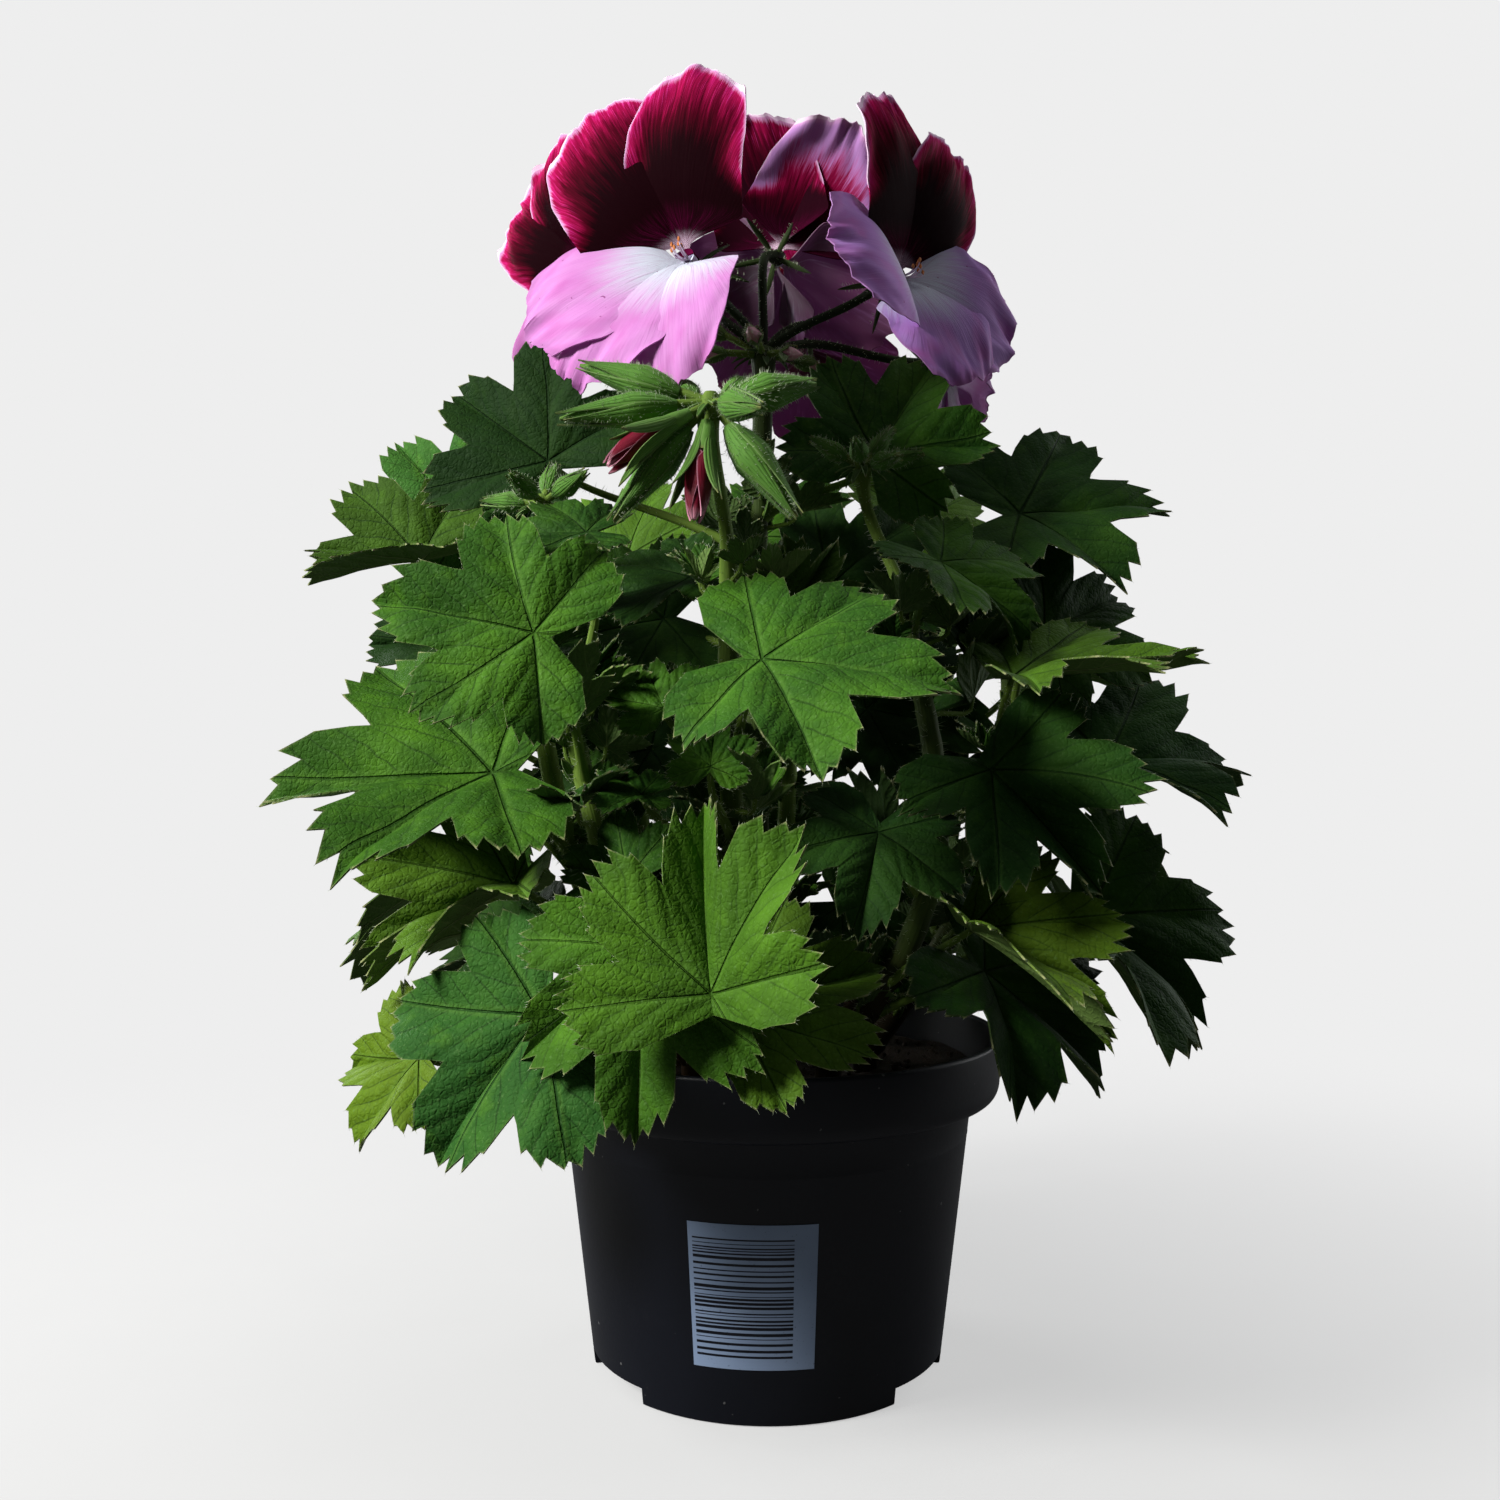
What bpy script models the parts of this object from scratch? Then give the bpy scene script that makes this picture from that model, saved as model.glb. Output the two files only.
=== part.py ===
"""A regal pelargonium in flower, standing in its nursery pot.

Metres, +Z up; the tables and the named sizes are in millimetres and degrees. The origin is on the pot's
axis, at the surface that its feet stand on, and -Y is the front. Azimuths run from +X towards +Y, so -90 is
the front.

The plant is a bush of leafy stems that stand in holes in the potting soil. The middle stem carries the open
flower head, and three others carry heads of buds. Each leafy stem with its leaf stalks and leaves is one
body, and so are each open flower's two dark upper petals, and its three pale lower petals with the throat.
"""

import math
import random
from dataclasses import dataclass

import bmesh
import bpy
from mathutils import Quaternion, Vector

MM = 0.001

# The pot: a thin moulded pot, 130 mm across its rim, with a cut-away foot.
RIM_RADIUS = 65.0
POT_HEIGHT = 90.0
RIM_THICKNESS = 2.1
RIM_ROUND = 1.0
RIM_LEAN = 0.6
RIM_TUCK = 3.4
RIM_FACE_FOOT = 78.0
RIM_UNDERSIDE = 73.5
SHOULDER_WIDTH = 1.5
SHOULDER_HEIGHT = 4.0
WALL_TOP_RADIUS = 56.8
WALL_FOOT_RADIUS = 48.2
WALL_THICKNESS = 1.3
FLOOR_UNDERSIDE = 4.0
FLOOR_TOP = 5.6
FLOOR_BEND = 2.0
FOOT_WIDTH = 3.2
POT_SEGMENTS = 28
FOOT_COUNT = 3
FOOT_GAP_DEG = 36.0
FIRST_GAP_DEG = -30.0
GAP_DEPTH = 4.4
GAP_INNER_RADIUS = 40.0
GAP_OUTER_RADIUS = 60.0
DRAIN_COUNT = 6
DRAIN_RADIUS = 3.6
DRAIN_CIRCLE = 27.0
HOLE_SIDES = 6
CUT_PAST = 2.0

# The potting soil, a little below the rim, with a crumbled top.
FIT_GAP = 0.3
SOIL_LEVEL = 79.0
SOIL_CRUMB = 1.5
SOIL_SEGMENTS = 14
SOIL_SHARP_DEG = 20
SOIL_RINGS = (46.0, 26.0)
SOIL_SEED = 7
STEM_DEPTH = 24.0

# The stems and the leaf stalks. A stalk leaves its stem below its blade by its slope, no lower than its step.
STEM_RADIUS_FOOT = 3.5
STEM_RADIUS_TOP = 2.3
STEM_COLLAR = 4.0
STEM_SIDES = 6
STEM_RINGS = 6
STALK_RADIUS_FOOT = 1.5
STALK_RADIUS_LEAF = 0.8
STALK_SIDES = 4
STALK_RINGS = 3
STALK_SLOPE = 0.45
STALK_LOWEST = 13.0
STALK_STEP = 6.0
STALK_BOW = 0.33
STALK_LEAVE_RISE = 0.5
STALK_ARRIVE_DEG = 66.0

# The leaves: lobed blades, toothed round the edge and pleated along their main veins. Lengths are shares of
# the midrib's. A tooth step is a share of the way from a lobe's vein to its edge, and whether it is cut in.
LEAF_THICKNESS = 0.75
LOBE_VEINS_DEG = (-112.0, -56.0, 0.0, 56.0, 112.0)
LOBE_LENGTHS = (0.70, 0.90, 1.0, 0.90, 0.70)
LOBE_VARIATION = 0.07
LOBE_ROUNDNESS = 3.0
LOBE_DEPTH = 0.36
LEAF_EDGE_DEG = 150.0
NOTCH_RADIUS = 0.10
TOOTH_DEPTH = 0.08
TOOTH_STEPS = ((-0.58, 0), (-0.30, 1), (0.0, 0), (0.30, 1), (0.58, 0))
SMALL_LEAF = 48.0
SMALL_LEAF_STEPS = ((-0.42, 1), (0.0, 0), (0.42, 1))
YOUNG_LEAF = 36.0
YOUNG_LEAF_STEPS = ((-0.3, 0), (0.3, 0))
VEIN_POINT = 0.5
PLEAT_HEIGHT = 0.085
LOBE_LIFT = 0.09
LOBE_CURL_DEG = -14.0

# The petals: narrow claws that spread into round blades. Widths and shares are of the petal's length.
PETAL_THICKNESS = 0.6
PETAL_ROWS = 4
PETAL_COLUMNS = 4
UPPER_ANGLES = (24.0, -24.0)
UPPER_WIDTH = 0.78
LOWER_WIDTH = 0.66
LOWER_SHARE = 0.94
CLAW_WIDTH = 1.5
CLAW_OFFSET = 1.15
CLAW_REACH = 0.6
CLAW_HEIGHT = 1.6
CLAW_END = 0.1
FULL_WIDTH_FROM = 0.5
TIP_ROUND = 0.14
TIP_NARROWING = 0.25
TIP_FROM = 0.6
PETAL_LIFT_DEG = 48.0
PETAL_REFLEX_DEG = -18.0
PETAL_CURVE_STEPS = 12
PETAL_CUP = 0.12
PETAL_TWIST = 0.14
RUFFLE_HEIGHT = 1.6
RUFFLE_WAVES = 4.2
THROAT_RADIUS = 2.2
THROAT_DEPTH = 2.4
THROAT_CORNERS = 5

# The calyx behind each flower.
FLOWER_STALK_RADIUS = 1.25
FLOWER_STALK_SIDES = 4
CALYX_LENGTH = 11.0
CALYX_RADIUS_MIDDLE = 1.7
CALYX_RADIUS_TOP = 2.4
SEPAL_COUNT = 5
SEPAL_LENGTH = 13.0
SEPAL_WIDTH = 2.2
SEPAL_WIDEST = 0.45
SEPAL_DROP = 3.2
SEPAL_SEAT = 1.2
SEPAL_BACK_DEG = 28.0

# The buds. A profile's rows give a share of the body's length, then of its width (half of it, if closed).
BUD_STALK_RADIUS = 1.0
BUD_SIDES = 4
BUD_PROFILE = ((0.14, 0.72), (0.36, 1.0), (0.66, 0.62))
BUD_TIP_RADIUS = 0.35
BUD_SAG = 0.10
CUP_SIDES = 6
CUP_PROFILE = ((0.4, 0.42), (1.0, 0.5))
ROLLED_PETAL_LENGTH = 15.0
ROLLED_SIDES = 7
ROLLED_PROFILE = ((0.0, 0.44), (0.3, 0.52), (0.65, 0.46), (0.9, 0.3), (1.0, 0.09))
ROLLED_SAG = 2.0

# The stalks of the heads.
HEAD_STALK_RADIUS = 2.8
BUD_HEAD_STALK_RADIUS = 1.6
HUB_SWELLING = 0.8
HUB_TIP_RADIUS = 1.4
HUB_TIP_HEIGHT = 2.5
HEAD_STALK_BOW = 0.4
HEAD_STALK_RINGS = 5


@dataclass(frozen=True)
class Stem:
    """A leafy stem: its hole in the soil, then the points that it passes through."""

    hole: tuple
    path: tuple


@dataclass(frozen=True)
class Leaf:
    """A leaf: where its stalk meets the blade, the midrib's direction and the way its upper face looks."""

    stem: str
    junction: tuple
    midrib: tuple
    facing: tuple
    length: float
    fold: float = 14.0
    droop: float = 20.0
    spread: float = 1.0


@dataclass(frozen=True)
class Flower:
    """An open flower: its throat, the way that it looks, its turn about that axis and its petals' length."""

    throat: tuple
    facing: tuple
    turn: float
    length: float = 40.0
    lower: tuple = (115.0, 180.0, 245.0)


@dataclass(frozen=True)
class Bud:
    """A closed bud: the direction that it points in from the head's hub, its stalk, body and sepal tips."""

    pointing: tuple
    stalk: float
    length: float
    width: float


@dataclass(frozen=True)
class BudHead:
    """A head of buds: its hub, the stem that carries it, its opening buds and its closed ones."""

    hub: tuple
    stem: str
    opening: tuple
    buds: tuple


STEMS = {
    "middle": Stem((0, 4), ((-2, 2, 130), (-3, -2, 190), (-2, 0, 238))),
    "front": Stem((-4, -22), ((-8, -36, 125), (-10, -46, 175), (-10, -58, 208))),
    "front_left": Stem((-20, -14), ((-36, -32, 120), (-44, -42, 150), (-50, -46, 178))),
    "left": Stem((-26, 4), ((-50, 2, 125), (-62, -2, 170), (-62, -12, 208))),
    "back_left": Stem((-16, 22), ((-34, 42, 125), (-42, 50, 165), (-42, 52, 198))),
    "back": Stem((4, 28), ((6, 56, 125), (8, 64, 175), (8, 62, 215))),
    "back_right": Stem((22, 18), ((42, 42, 125), (52, 52, 170), (54, 54, 200))),
    "right": Stem((27, -4), ((56, 0, 125), (68, 2, 165), (68, 4, 205))),
    "front_right": Stem((16, -20), ((36, -40, 120), (42, -46, 155), (36, -30, 203))),
}

LEAVES = (
    # Left side.
    Leaf("left", (-69, -45, 162), (-178, -2), (-90, 50), 60, 22, 12, 0.92),
    Leaf("left", (-64, -44, 134), (-165, -28), (-60, 60), 45, 50, 10, 0.8),
    Leaf("left", (-97, 0, 221), (180, -3), (-60, 50), 36, 45),
    Leaf("left", (-87, 14, 235), (165, 45), (-100, 20), 34),
    Leaf("left", (-88, 10, 200), (160, 0), (-80, 20), 32),
    Leaf("left", (-93, 12, 166), (178, 0), (-150, 50), 36),
    Leaf("left", (-73, -6, 150), (-170, -75), (-80, 0), 22, 55),
    Leaf("left", (-58, -18, 120), (-175, -15), (-60, 70), 36, 14, 20, 0.75),
    Leaf("left", (-94, 22, 130), (165, -40), (170, 35), 42),
    # Front left.
    Leaf("front_left", (-53, -85, 194), (180, 15), (-95, 20), 38, 6),
    Leaf("front_left", (-52, -80, 108), (-160, -50), (-100, 25), 41, 8),
    Leaf("front_left", (-84, -60, 94), (150, -8), (-100, 30), 28),
    Leaf("front_left", (-44, -60, 220), (180, 0), (-90, 60), 24),
    # Front.
    Leaf("front", (-2, -85, 188), (-15, -5), (-90, 45), 42, 8),
    Leaf("front", (-13, -100, 116), (110, 72), (-110, 10), 44, 30, 20, 0.8),
    Leaf("front", (-28, -88, 124), (-100, -75), (-100, 15), 41, 12, 20, 0.85),
    Leaf("front", (-8, -85, 109), (15, 20), (-90, 35), 38, 10, 20, 0.8),
    Leaf("front", (-20, -36, 212), (-175, -14), (-60, 60), 32, 14, 20, 0.85),
    Leaf("front", (-33, -70, 138), (150, 10), (-100, 30), 22),
    Leaf("front", (-26, -52, 178), (115, 45), (-90, 20), 18),
    Leaf("front", (-14, -70, 164), (80, 60), (-90, 10), 15),
    Leaf("front", (-31, -58, 157), (-175, 5), (-90, 70), 18),
    # Front right.
    Leaf("front_right", (48, -62, 125), (-25, -30), (-70, 50), 40, 50, 20, 0.75),
    Leaf("front_right", (54, -54, 163), (-40, -40), (-90, 30), 41, 30, 20, 0.8),
    Leaf("front_right", (44, -36, 216), (-20, -30), (-60, 50), 31, 14, 30),
    Leaf("front_right", (53, -49, 113), (-5, -35), (-60, 50), 42),
    Leaf("front_right", (26, -60, 148), (-105, -40), (-90, 35), 30),
    # Right.
    Leaf("right", (83, -28, 124), (-8, -38), (-60, 45), 50, 30, 40, 0.85),
    Leaf("right", (90, -22, 165), (5, 4), (-70, 60), 42, 20, 34),
    Leaf("right", (61, -45, 186), (0, 5), (-90, 75), 46, 20, 10, 0.8),
    Leaf("right", (76, -8, 200), (30, 25), (-60, 30), 35),
    Leaf("right", (90, 25, 155), (0, -40), (-10, 45), 42),
    Leaf("right", (46, 24, 128), (-30, -30), (-80, 10), 36),
    Leaf("right", (88, 14, 120), (15, -45), (0, 35), 43),
    # Back right.
    Leaf("back_right", (72, 6, 235), (5, 5), (-80, 45), 46),
    Leaf("back_right", (68, 68, 154), (40, -12), (50, 50), 46),
    Leaf("back_right", (62, 80, 204), (45, 20), (60, 40), 42),
    Leaf("back_right", (64, 50, 115), (30, -35), (40, 40), 46),
    Leaf("back_right", (80, 52, 192), (15, 5), (30, 50), 40),
    Leaf("back_right", (50, 60, 240), (50, 30), (30, 40), 42),
    # Back.
    Leaf("back", (4, 80, 148), (85, -20), (90, 40), 43),
    Leaf("back", (22, 78, 198), (65, 10), (90, 40), 43),
    Leaf("back", (-18, 84, 112), (100, -40), (95, 35), 44),
    Leaf("back", (-18, 80, 176), (90, -5), (80, 40), 36),
    Leaf("back", (0, 70, 238), (95, 45), (-90, 30), 40),
    # Back left.
    Leaf("back_left", (-60, 73, 146), (140, -15), (120, 50), 50),
    Leaf("back_left", (-58, 80, 198), (132, 15), (110, 40), 42),
    Leaf("back_left", (-70, 50, 115), (150, -35), (130, 40), 44),
    Leaf("back_left", (-84, 44, 178), (165, 5), (150, 50), 36),
    Leaf("back_left", (-44, 60, 230), (135, 30), (150, 40), 38),
    # Middle.
    Leaf("middle", (30, -6, 249), (30, 58), (-90, 20), 38, 15),
    Leaf("middle", (-60, -10, 247), (168, 36), (-100, 15), 40),
    Leaf("middle", (19, 18, 216), (0, -10), (-80, 25), 40),
    Leaf("middle", (30, 24, 180), (-10, -10), (-85, 25), 40),
    Leaf("middle", (-30, 16, 206), (-170, -10), (-95, 25), 38),
    Leaf("middle", (-34, 22, 168), (180, -10), (-95, 25), 40),
    Leaf("middle", (21, 2, 124), (-22, -25), (-90, 25), 25),
)

FLOWERS = {
    "front_left": Flower((-20, -36, 293), (-116, 16), 14, 50, (111, 142, 172)),
    "left": Flower((-48, 10, 306), (-140, 5), 32, 40, (112, 213, 251)),
    "top": Flower((3, 14, 311), (75, 15), 8, 44, (113, 204, 248)),
    "front_right": Flower((34, -14, 296), (-45, 15), -12, 49, (110, 214, 252)),
    "right": Flower((51, 32, 284), (15, -5), 0, 30, (115, 186, 245)),
    "back": Flower((14, 50, 298), (90, 5), 0, 36),
}
HUB = (-1, 0, 279)
HUB_BUDS = (
    Bud((-60, -10), 10, 11, 4.0),
    Bud((-100, 5), 12, 12, 4.4),
    Bud((-150, -5), 12, 11, 4.0),
    Bud((30, 0), 10, 11, 4.0),
    Bud((150, 30), 14, 12, 4.2),
)

BUD_HEADS = {
    "front": BudHead((-14, -70, 249), "front", (
        Bud((-105, -64), 6, 9, 5.6),
        Bud((-146, -30), 7, 9, 5.0),
    ), (
        Bud((170, 22), 8, 26, 8.0),
        Bud((-170, -4), 8, 27, 8.0),
        Bud((-160, -48), 8, 27, 8.0),
        Bud((-20, -50), 7, 26, 9.0),
        Bud((20, 18), 7, 21, 9.0),
        Bud((-60, -10), 6, 18, 7.0),
        Bud((60, 25), 8, 18, 7.0),
        Bud((120, 22), 8, 17, 7.0),
    )),
    "right": BudHead((25, -22, 243), "front_right", (), (
        Bud((-15, 15), 5, 12, 4.5),
        Bud((-60, 5), 5, 12, 4.5),
        Bud((-100, 20), 5, 12, 4.5),
        Bud((170, 35), 5, 12, 4.5),
        Bud((40, 50), 5, 13, 4.5),
    )),
    "left": BudHead((-58, -36, 231), "left", (), (
        Bud((-40, 25), 5, 13, 5.0),
        Bud((-110, 20), 5, 13, 5.0),
        Bud((160, 10), 5, 13, 5.0),
        Bud((80, 50), 5, 13, 5.0),
    )),
}


def direction(azimuth, rise):
    """Return the unit vector that points at an azimuth and a rise in degrees."""
    azimuth = math.radians(azimuth)
    rise = math.radians(rise)
    return Vector((math.cos(azimuth) * math.cos(rise), math.sin(azimuth) * math.cos(rise), math.sin(rise)))


def blend(start, end, share):
    """Return the value a share of the way from start to end."""
    return start + (end - start) * share


def curve_through(points, count):
    """Return count points along a smooth curve through the given points (a Catmull-Rom spline)."""
    ends = [points[0] * 2 - points[1]] + list(points) + [points[-1] * 2 - points[-2]]
    spans = len(points) - 1
    curve = []
    for step in range(count):
        place = spans * step / (count - 1)
        span = min(int(place), spans - 1)
        t = place - span
        a, b, c, d = ends[span:span + 4]
        curve.append(0.5 * (2 * b + (c - a) * t + (2 * a - 5 * b + 4 * c - d) * t ** 2
                            + (3 * b - a - 3 * c + d) * t ** 3))
    return curve


def bezier(a, b, c, d, count):
    """Return count points along a cubic Bezier curve."""
    curve = []
    for step in range(count):
        t = step / (count - 1)
        s = 1 - t
        curve.append(a * s ** 3 + b * 3 * s * s * t + c * 3 * s * t * t + d * t ** 3)
    return curve


def mesh_object(name, vertices, faces):
    """Make an object from points in millimetres, with its faces turned outwards."""
    mesh = bpy.data.meshes.new(name)
    mesh.from_pydata([point * MM for point in vertices], [], faces)
    bm = bmesh.new()
    bm.from_mesh(mesh)
    bmesh.ops.recalc_face_normals(bm, faces=bm.faces)
    bm.to_mesh(mesh)
    bm.free()
    obj = bpy.data.objects.new(name, mesh)
    bpy.context.scene.collection.objects.link(obj)
    return obj


def tube(name, points, radii, sides):
    """Make a closed tube along points, with a radius at each of them."""
    ring = [[] for _ in points]
    vertices = []
    across = (points[1] - points[0]).orthogonal().normalized()
    for index, point in enumerate(points):
        ahead = points[min(index + 1, len(points) - 1)] - points[max(index - 1, 0)]
        ahead.normalize()
        across = (across - ahead * across.dot(ahead)).normalized()
        for side in range(sides):
            spoke = Quaternion(ahead, math.tau * side / sides) @ across
            ring[index].append(len(vertices))
            vertices.append(point + spoke * radii[index])
    faces = [tuple(ring[0][::-1]), tuple(ring[-1])]
    for low, high in zip(ring, ring[1:]):
        for side in range(sides):
            after = (side + 1) % sides
            faces.append((low[side], low[after], high[after], high[side]))
    return mesh_object(name, vertices, faces)


def sheet(name, vertices, faces, thickness):
    """Make a thin solid of even thickness about a surface, with both faces split alike."""
    mesh = bpy.data.meshes.new(name)
    mesh.from_pydata([point * MM for point in vertices], [], faces)
    obj = bpy.data.objects.new(name, mesh)
    bpy.context.scene.collection.objects.link(obj)
    thicken = obj.modifiers.new("thickness", "SOLIDIFY")
    thicken.thickness = thickness * MM
    thicken.offset = 0
    return obj


class LeafShape:
    """The curved surface of one leaf blade, read in polar coordinates about the end of its stalk."""

    def __init__(self, leaf):
        self.leaf = leaf
        dice = random.Random(repr(leaf.junction))
        self.lobe_lengths = [length * (1 + LOBE_VARIATION * dice.uniform(-1, 1)) for length in LOBE_LENGTHS]
        self.lobe_lifts = [dice.uniform(-LOBE_LIFT, LOBE_LIFT) for _ in LOBE_LENGTHS]
        self.along = direction(*leaf.midrib)
        facing = direction(*leaf.facing)
        self.up = (facing - self.along * facing.dot(self.along)).normalized()
        self.left = self.up.cross(self.along)

    def lobe_at(self, angle):
        """Return the lobe that holds an angle, and how far the angle is from its vein to its edge, signed."""
        lobe = min(range(len(LOBE_VEINS_DEG)), key=lambda index: abs(angle - LOBE_VEINS_DEG[index]))
        away = angle - LOBE_VEINS_DEG[lobe]
        outermost = lobe in (0, len(LOBE_VEINS_DEG) - 1) and abs(angle) > abs(LOBE_VEINS_DEG[lobe])
        half = (LOBE_VEINS_DEG[1] - LOBE_VEINS_DEG[0]) / 2
        if outermost:
            half = LEAF_EDGE_DEG - LOBE_VEINS_DEG[-1]
        return lobe, max(-1.0, min(1.0, away / half))

    def reach(self, angle):
        """Return the blade's length, as a share of the midrib, towards an angle, without the teeth."""
        lobe, share = self.lobe_at(angle)
        neighbour = lobe + (1 if share > 0 else -1)
        own = self.lobe_lengths[lobe]
        if 0 <= neighbour < len(self.lobe_lengths):
            own = blend(own, (own + self.lobe_lengths[neighbour]) / 2, abs(share))
        return own * (1 - LOBE_DEPTH * abs(share) ** LOBE_ROUNDNESS)

    def point(self, angle, radius):
        """Return the surface's point in millimetres at an angle and a radius (a share of the midrib)."""
        leaf = self.leaf
        lobe, share = self.lobe_at(angle)
        turn = math.radians(angle if abs(angle) == 180 else angle * leaf.spread)
        x = radius * math.cos(turn)
        y = radius * math.sin(turn)
        z = radius * PLEAT_HEIGHT * abs(share) + radius ** 1.5 * self.lobe_lifts[lobe] * (1 - abs(share))
        fold = math.radians(leaf.fold + LOBE_CURL_DEG * abs(y))
        side = math.copysign(1, y)
        y, z = y * math.cos(fold) - side * z * math.sin(fold), abs(y) * math.sin(fold) + z * math.cos(fold)
        bend = math.radians(leaf.droop)
        x, z = (math.sin(bend * x) / bend + z * math.sin(bend * x),
                -(1 - math.cos(bend * x)) / bend + z * math.cos(bend * x))
        return Vector(leaf.junction) + (self.along * x + self.left * y + self.up * z) * leaf.length


def leaf_blade(leaf):
    """Make a blade: a centre, a point on each vein and the toothed margin."""
    shape = LeafShape(leaf)
    between = (LOBE_VEINS_DEG[1] - LOBE_VEINS_DEG[0]) / 2
    steps = TOOTH_STEPS
    if leaf.length < SMALL_LEAF:
        steps = SMALL_LEAF_STEPS
    if leaf.length < YOUNG_LEAF:
        steps = YOUNG_LEAF_STEPS
    vertices = [shape.point(0, 0)]
    faces = []

    def add(angle, radius):
        vertices.append(shape.point(angle, radius))
        return len(vertices) - 1

    first = sinus = add(-LEAF_EDGE_DEG, shape.reach(-LEAF_EDGE_DEG))
    for lobe, vein in enumerate(LOBE_VEINS_DEG):
        low = LEAF_EDGE_DEG + vein if lobe == 0 else between
        high = LEAF_EDGE_DEG - vein if lobe == len(LOBE_VEINS_DEG) - 1 else between
        rib = add(vein, VEIN_POINT * shape.reach(vein))
        before = sinus
        faces.append((0, sinus, rib))
        for share, cut in steps:
            angle = vein + share * (low if share < 0 else high)
            after = add(angle, shape.reach(angle) * (1 - cut * TOOTH_DEPTH))
            faces.append((rib, before, after))
            before = after
        edge = min(vein + high, LEAF_EDGE_DEG)
        sinus = add(edge, shape.reach(edge))
        faces += [(rib, before, sinus), (0, rib, sinus)]
    notch = add(180, NOTCH_RADIUS)
    faces += [(0, sinus, notch), (0, notch, first)]
    return sheet("blade", vertices, faces, LEAF_THICKNESS)


def stem_curve(stem):
    """Return a stem's points, from the bottom of its hole to its top."""
    x, y = stem.hole
    foot = Vector((x, y, SOIL_LEVEL - STEM_DEPTH))
    collar = Vector((x, y, SOIL_LEVEL + STEM_COLLAR))
    return [foot] + curve_through([collar] + [Vector(point) for point in stem.path], STEM_RINGS)


def point_at_height(curve, height):
    """Return the point of a rising curve at a height."""
    for low, high in zip(curve, curve[1:]):
        if high.z >= height:
            return blend(low, high, (height - low.z) / (high.z - low.z))
    return curve[-1]


def leaf_stalk_curve(leaf):
    """Return the points of a leaf's stalk, from inside its stem to the underside of its blade."""
    shape = LeafShape(leaf)
    end = Vector(leaf.junction)
    curve = stem_curve(STEMS[leaf.stem])
    below = sum(other.stem == leaf.stem and other.junction[2] < leaf.junction[2] for other in LEAVES)
    lowest = SOIL_LEVEL + STALK_LOWEST + STALK_STEP * below
    drop = STALK_SLOPE * (end - curve[1]).to_2d().length
    start = point_at_height(curve, min(max(end.z - drop, lowest), curve[-1].z - STALK_STEP))
    reach = (end - start).length
    outward = (end - start) / reach
    leaving = (outward + Vector((0, 0, STALK_LEAVE_RISE))).normalized()
    arrival = math.radians(STALK_ARRIVE_DEG)
    arriving = shape.along * math.cos(arrival) + shape.up * math.sin(arrival)
    first = start + leaving * reach * STALK_BOW
    last = end - arriving * reach * STALK_BOW
    return bezier(start, first, last, end, STALK_RINGS)


class FlowerFrame:
    """A flower's own axes: out of its throat, and up and left across it after its turn."""

    def __init__(self, flower):
        self.throat = Vector(flower.throat)
        self.out = direction(*flower.facing)
        level_up = (Vector((0, 0, 1)) - self.out * self.out.z).normalized()
        self.up = Quaternion(self.out, math.radians(flower.turn)) @ level_up
        self.left = self.out.cross(self.up)

    def spoke(self, angle):
        """Return the direction across the flower at an angle from its top, anticlockwise from the front."""
        turn = math.radians(angle)
        return self.up * math.cos(turn) + self.left * math.sin(turn)


class PetalShape:
    """The curved surface of one petal, read by its share along (0 to 1) and across (-1 to 1)."""

    def __init__(self, frame, angle, length, width):
        self.frame = frame
        self.spoke = frame.spoke(angle)
        self.across = frame.out.cross(self.spoke)
        self.root = frame.throat + frame.up * math.copysign(CLAW_OFFSET, self.spoke.dot(frame.up))
        self.length = length
        self.width = width
        self.phase = random.Random(repr((angle, length, width))).uniform(0, math.tau)

    def point(self, along, across):
        """Return the surface's point in millimetres."""
        along = along * (1 - TIP_ROUND * across ** 2)
        reach = CLAW_REACH
        height = CLAW_HEIGHT
        step_length = self.length * along / PETAL_CURVE_STEPS
        for step in range(PETAL_CURVE_STEPS):
            share = along * (step + 0.5) / PETAL_CURVE_STEPS
            lean = math.radians(blend(PETAL_LIFT_DEG, PETAL_REFLEX_DEG, share))
            reach += step_length * math.cos(lean)
            height += step_length * math.sin(lean)
        opened = max(0.0, min((along - CLAW_END) / (FULL_WIDTH_FROM - CLAW_END), 1.0))
        opened = opened * opened * (3 - 2 * opened)
        tip = 1 - TIP_NARROWING * max(along - TIP_FROM, 0) / (1 - TIP_FROM)
        half = blend(CLAW_WIDTH, self.width * tip, opened) / 2
        height += half * (PETAL_TWIST * across - PETAL_CUP * across ** 2)
        ruffle = math.sin(RUFFLE_WAVES * across + self.phase)
        height += RUFFLE_HEIGHT * along ** 3 * abs(across) ** 0.5 * ruffle
        return self.root + self.spoke * reach + self.across * half * across + self.frame.out * height


def petal(frame, angle, length, width):
    """Make one petal as a thin solid."""
    shape = PetalShape(frame, angle, length, width)
    vertices = []
    faces = []
    for row in range(PETAL_ROWS):
        for column in range(PETAL_COLUMNS + 1):
            vertices.append(shape.point(row / (PETAL_ROWS - 1), 2 * column / PETAL_COLUMNS - 1))
    for row in range(PETAL_ROWS - 1):
        for column in range(PETAL_COLUMNS):
            a = row * (PETAL_COLUMNS + 1) + column
            b, c, d = a + 1, a + PETAL_COLUMNS + 2, a + PETAL_COLUMNS + 1
            faces += [(a, b, c), (a, c, d)] if (row + column) % 2 else [(a, b, d), (b, c, d)]
    return sheet("petal", vertices, faces, PETAL_THICKNESS)


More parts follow.
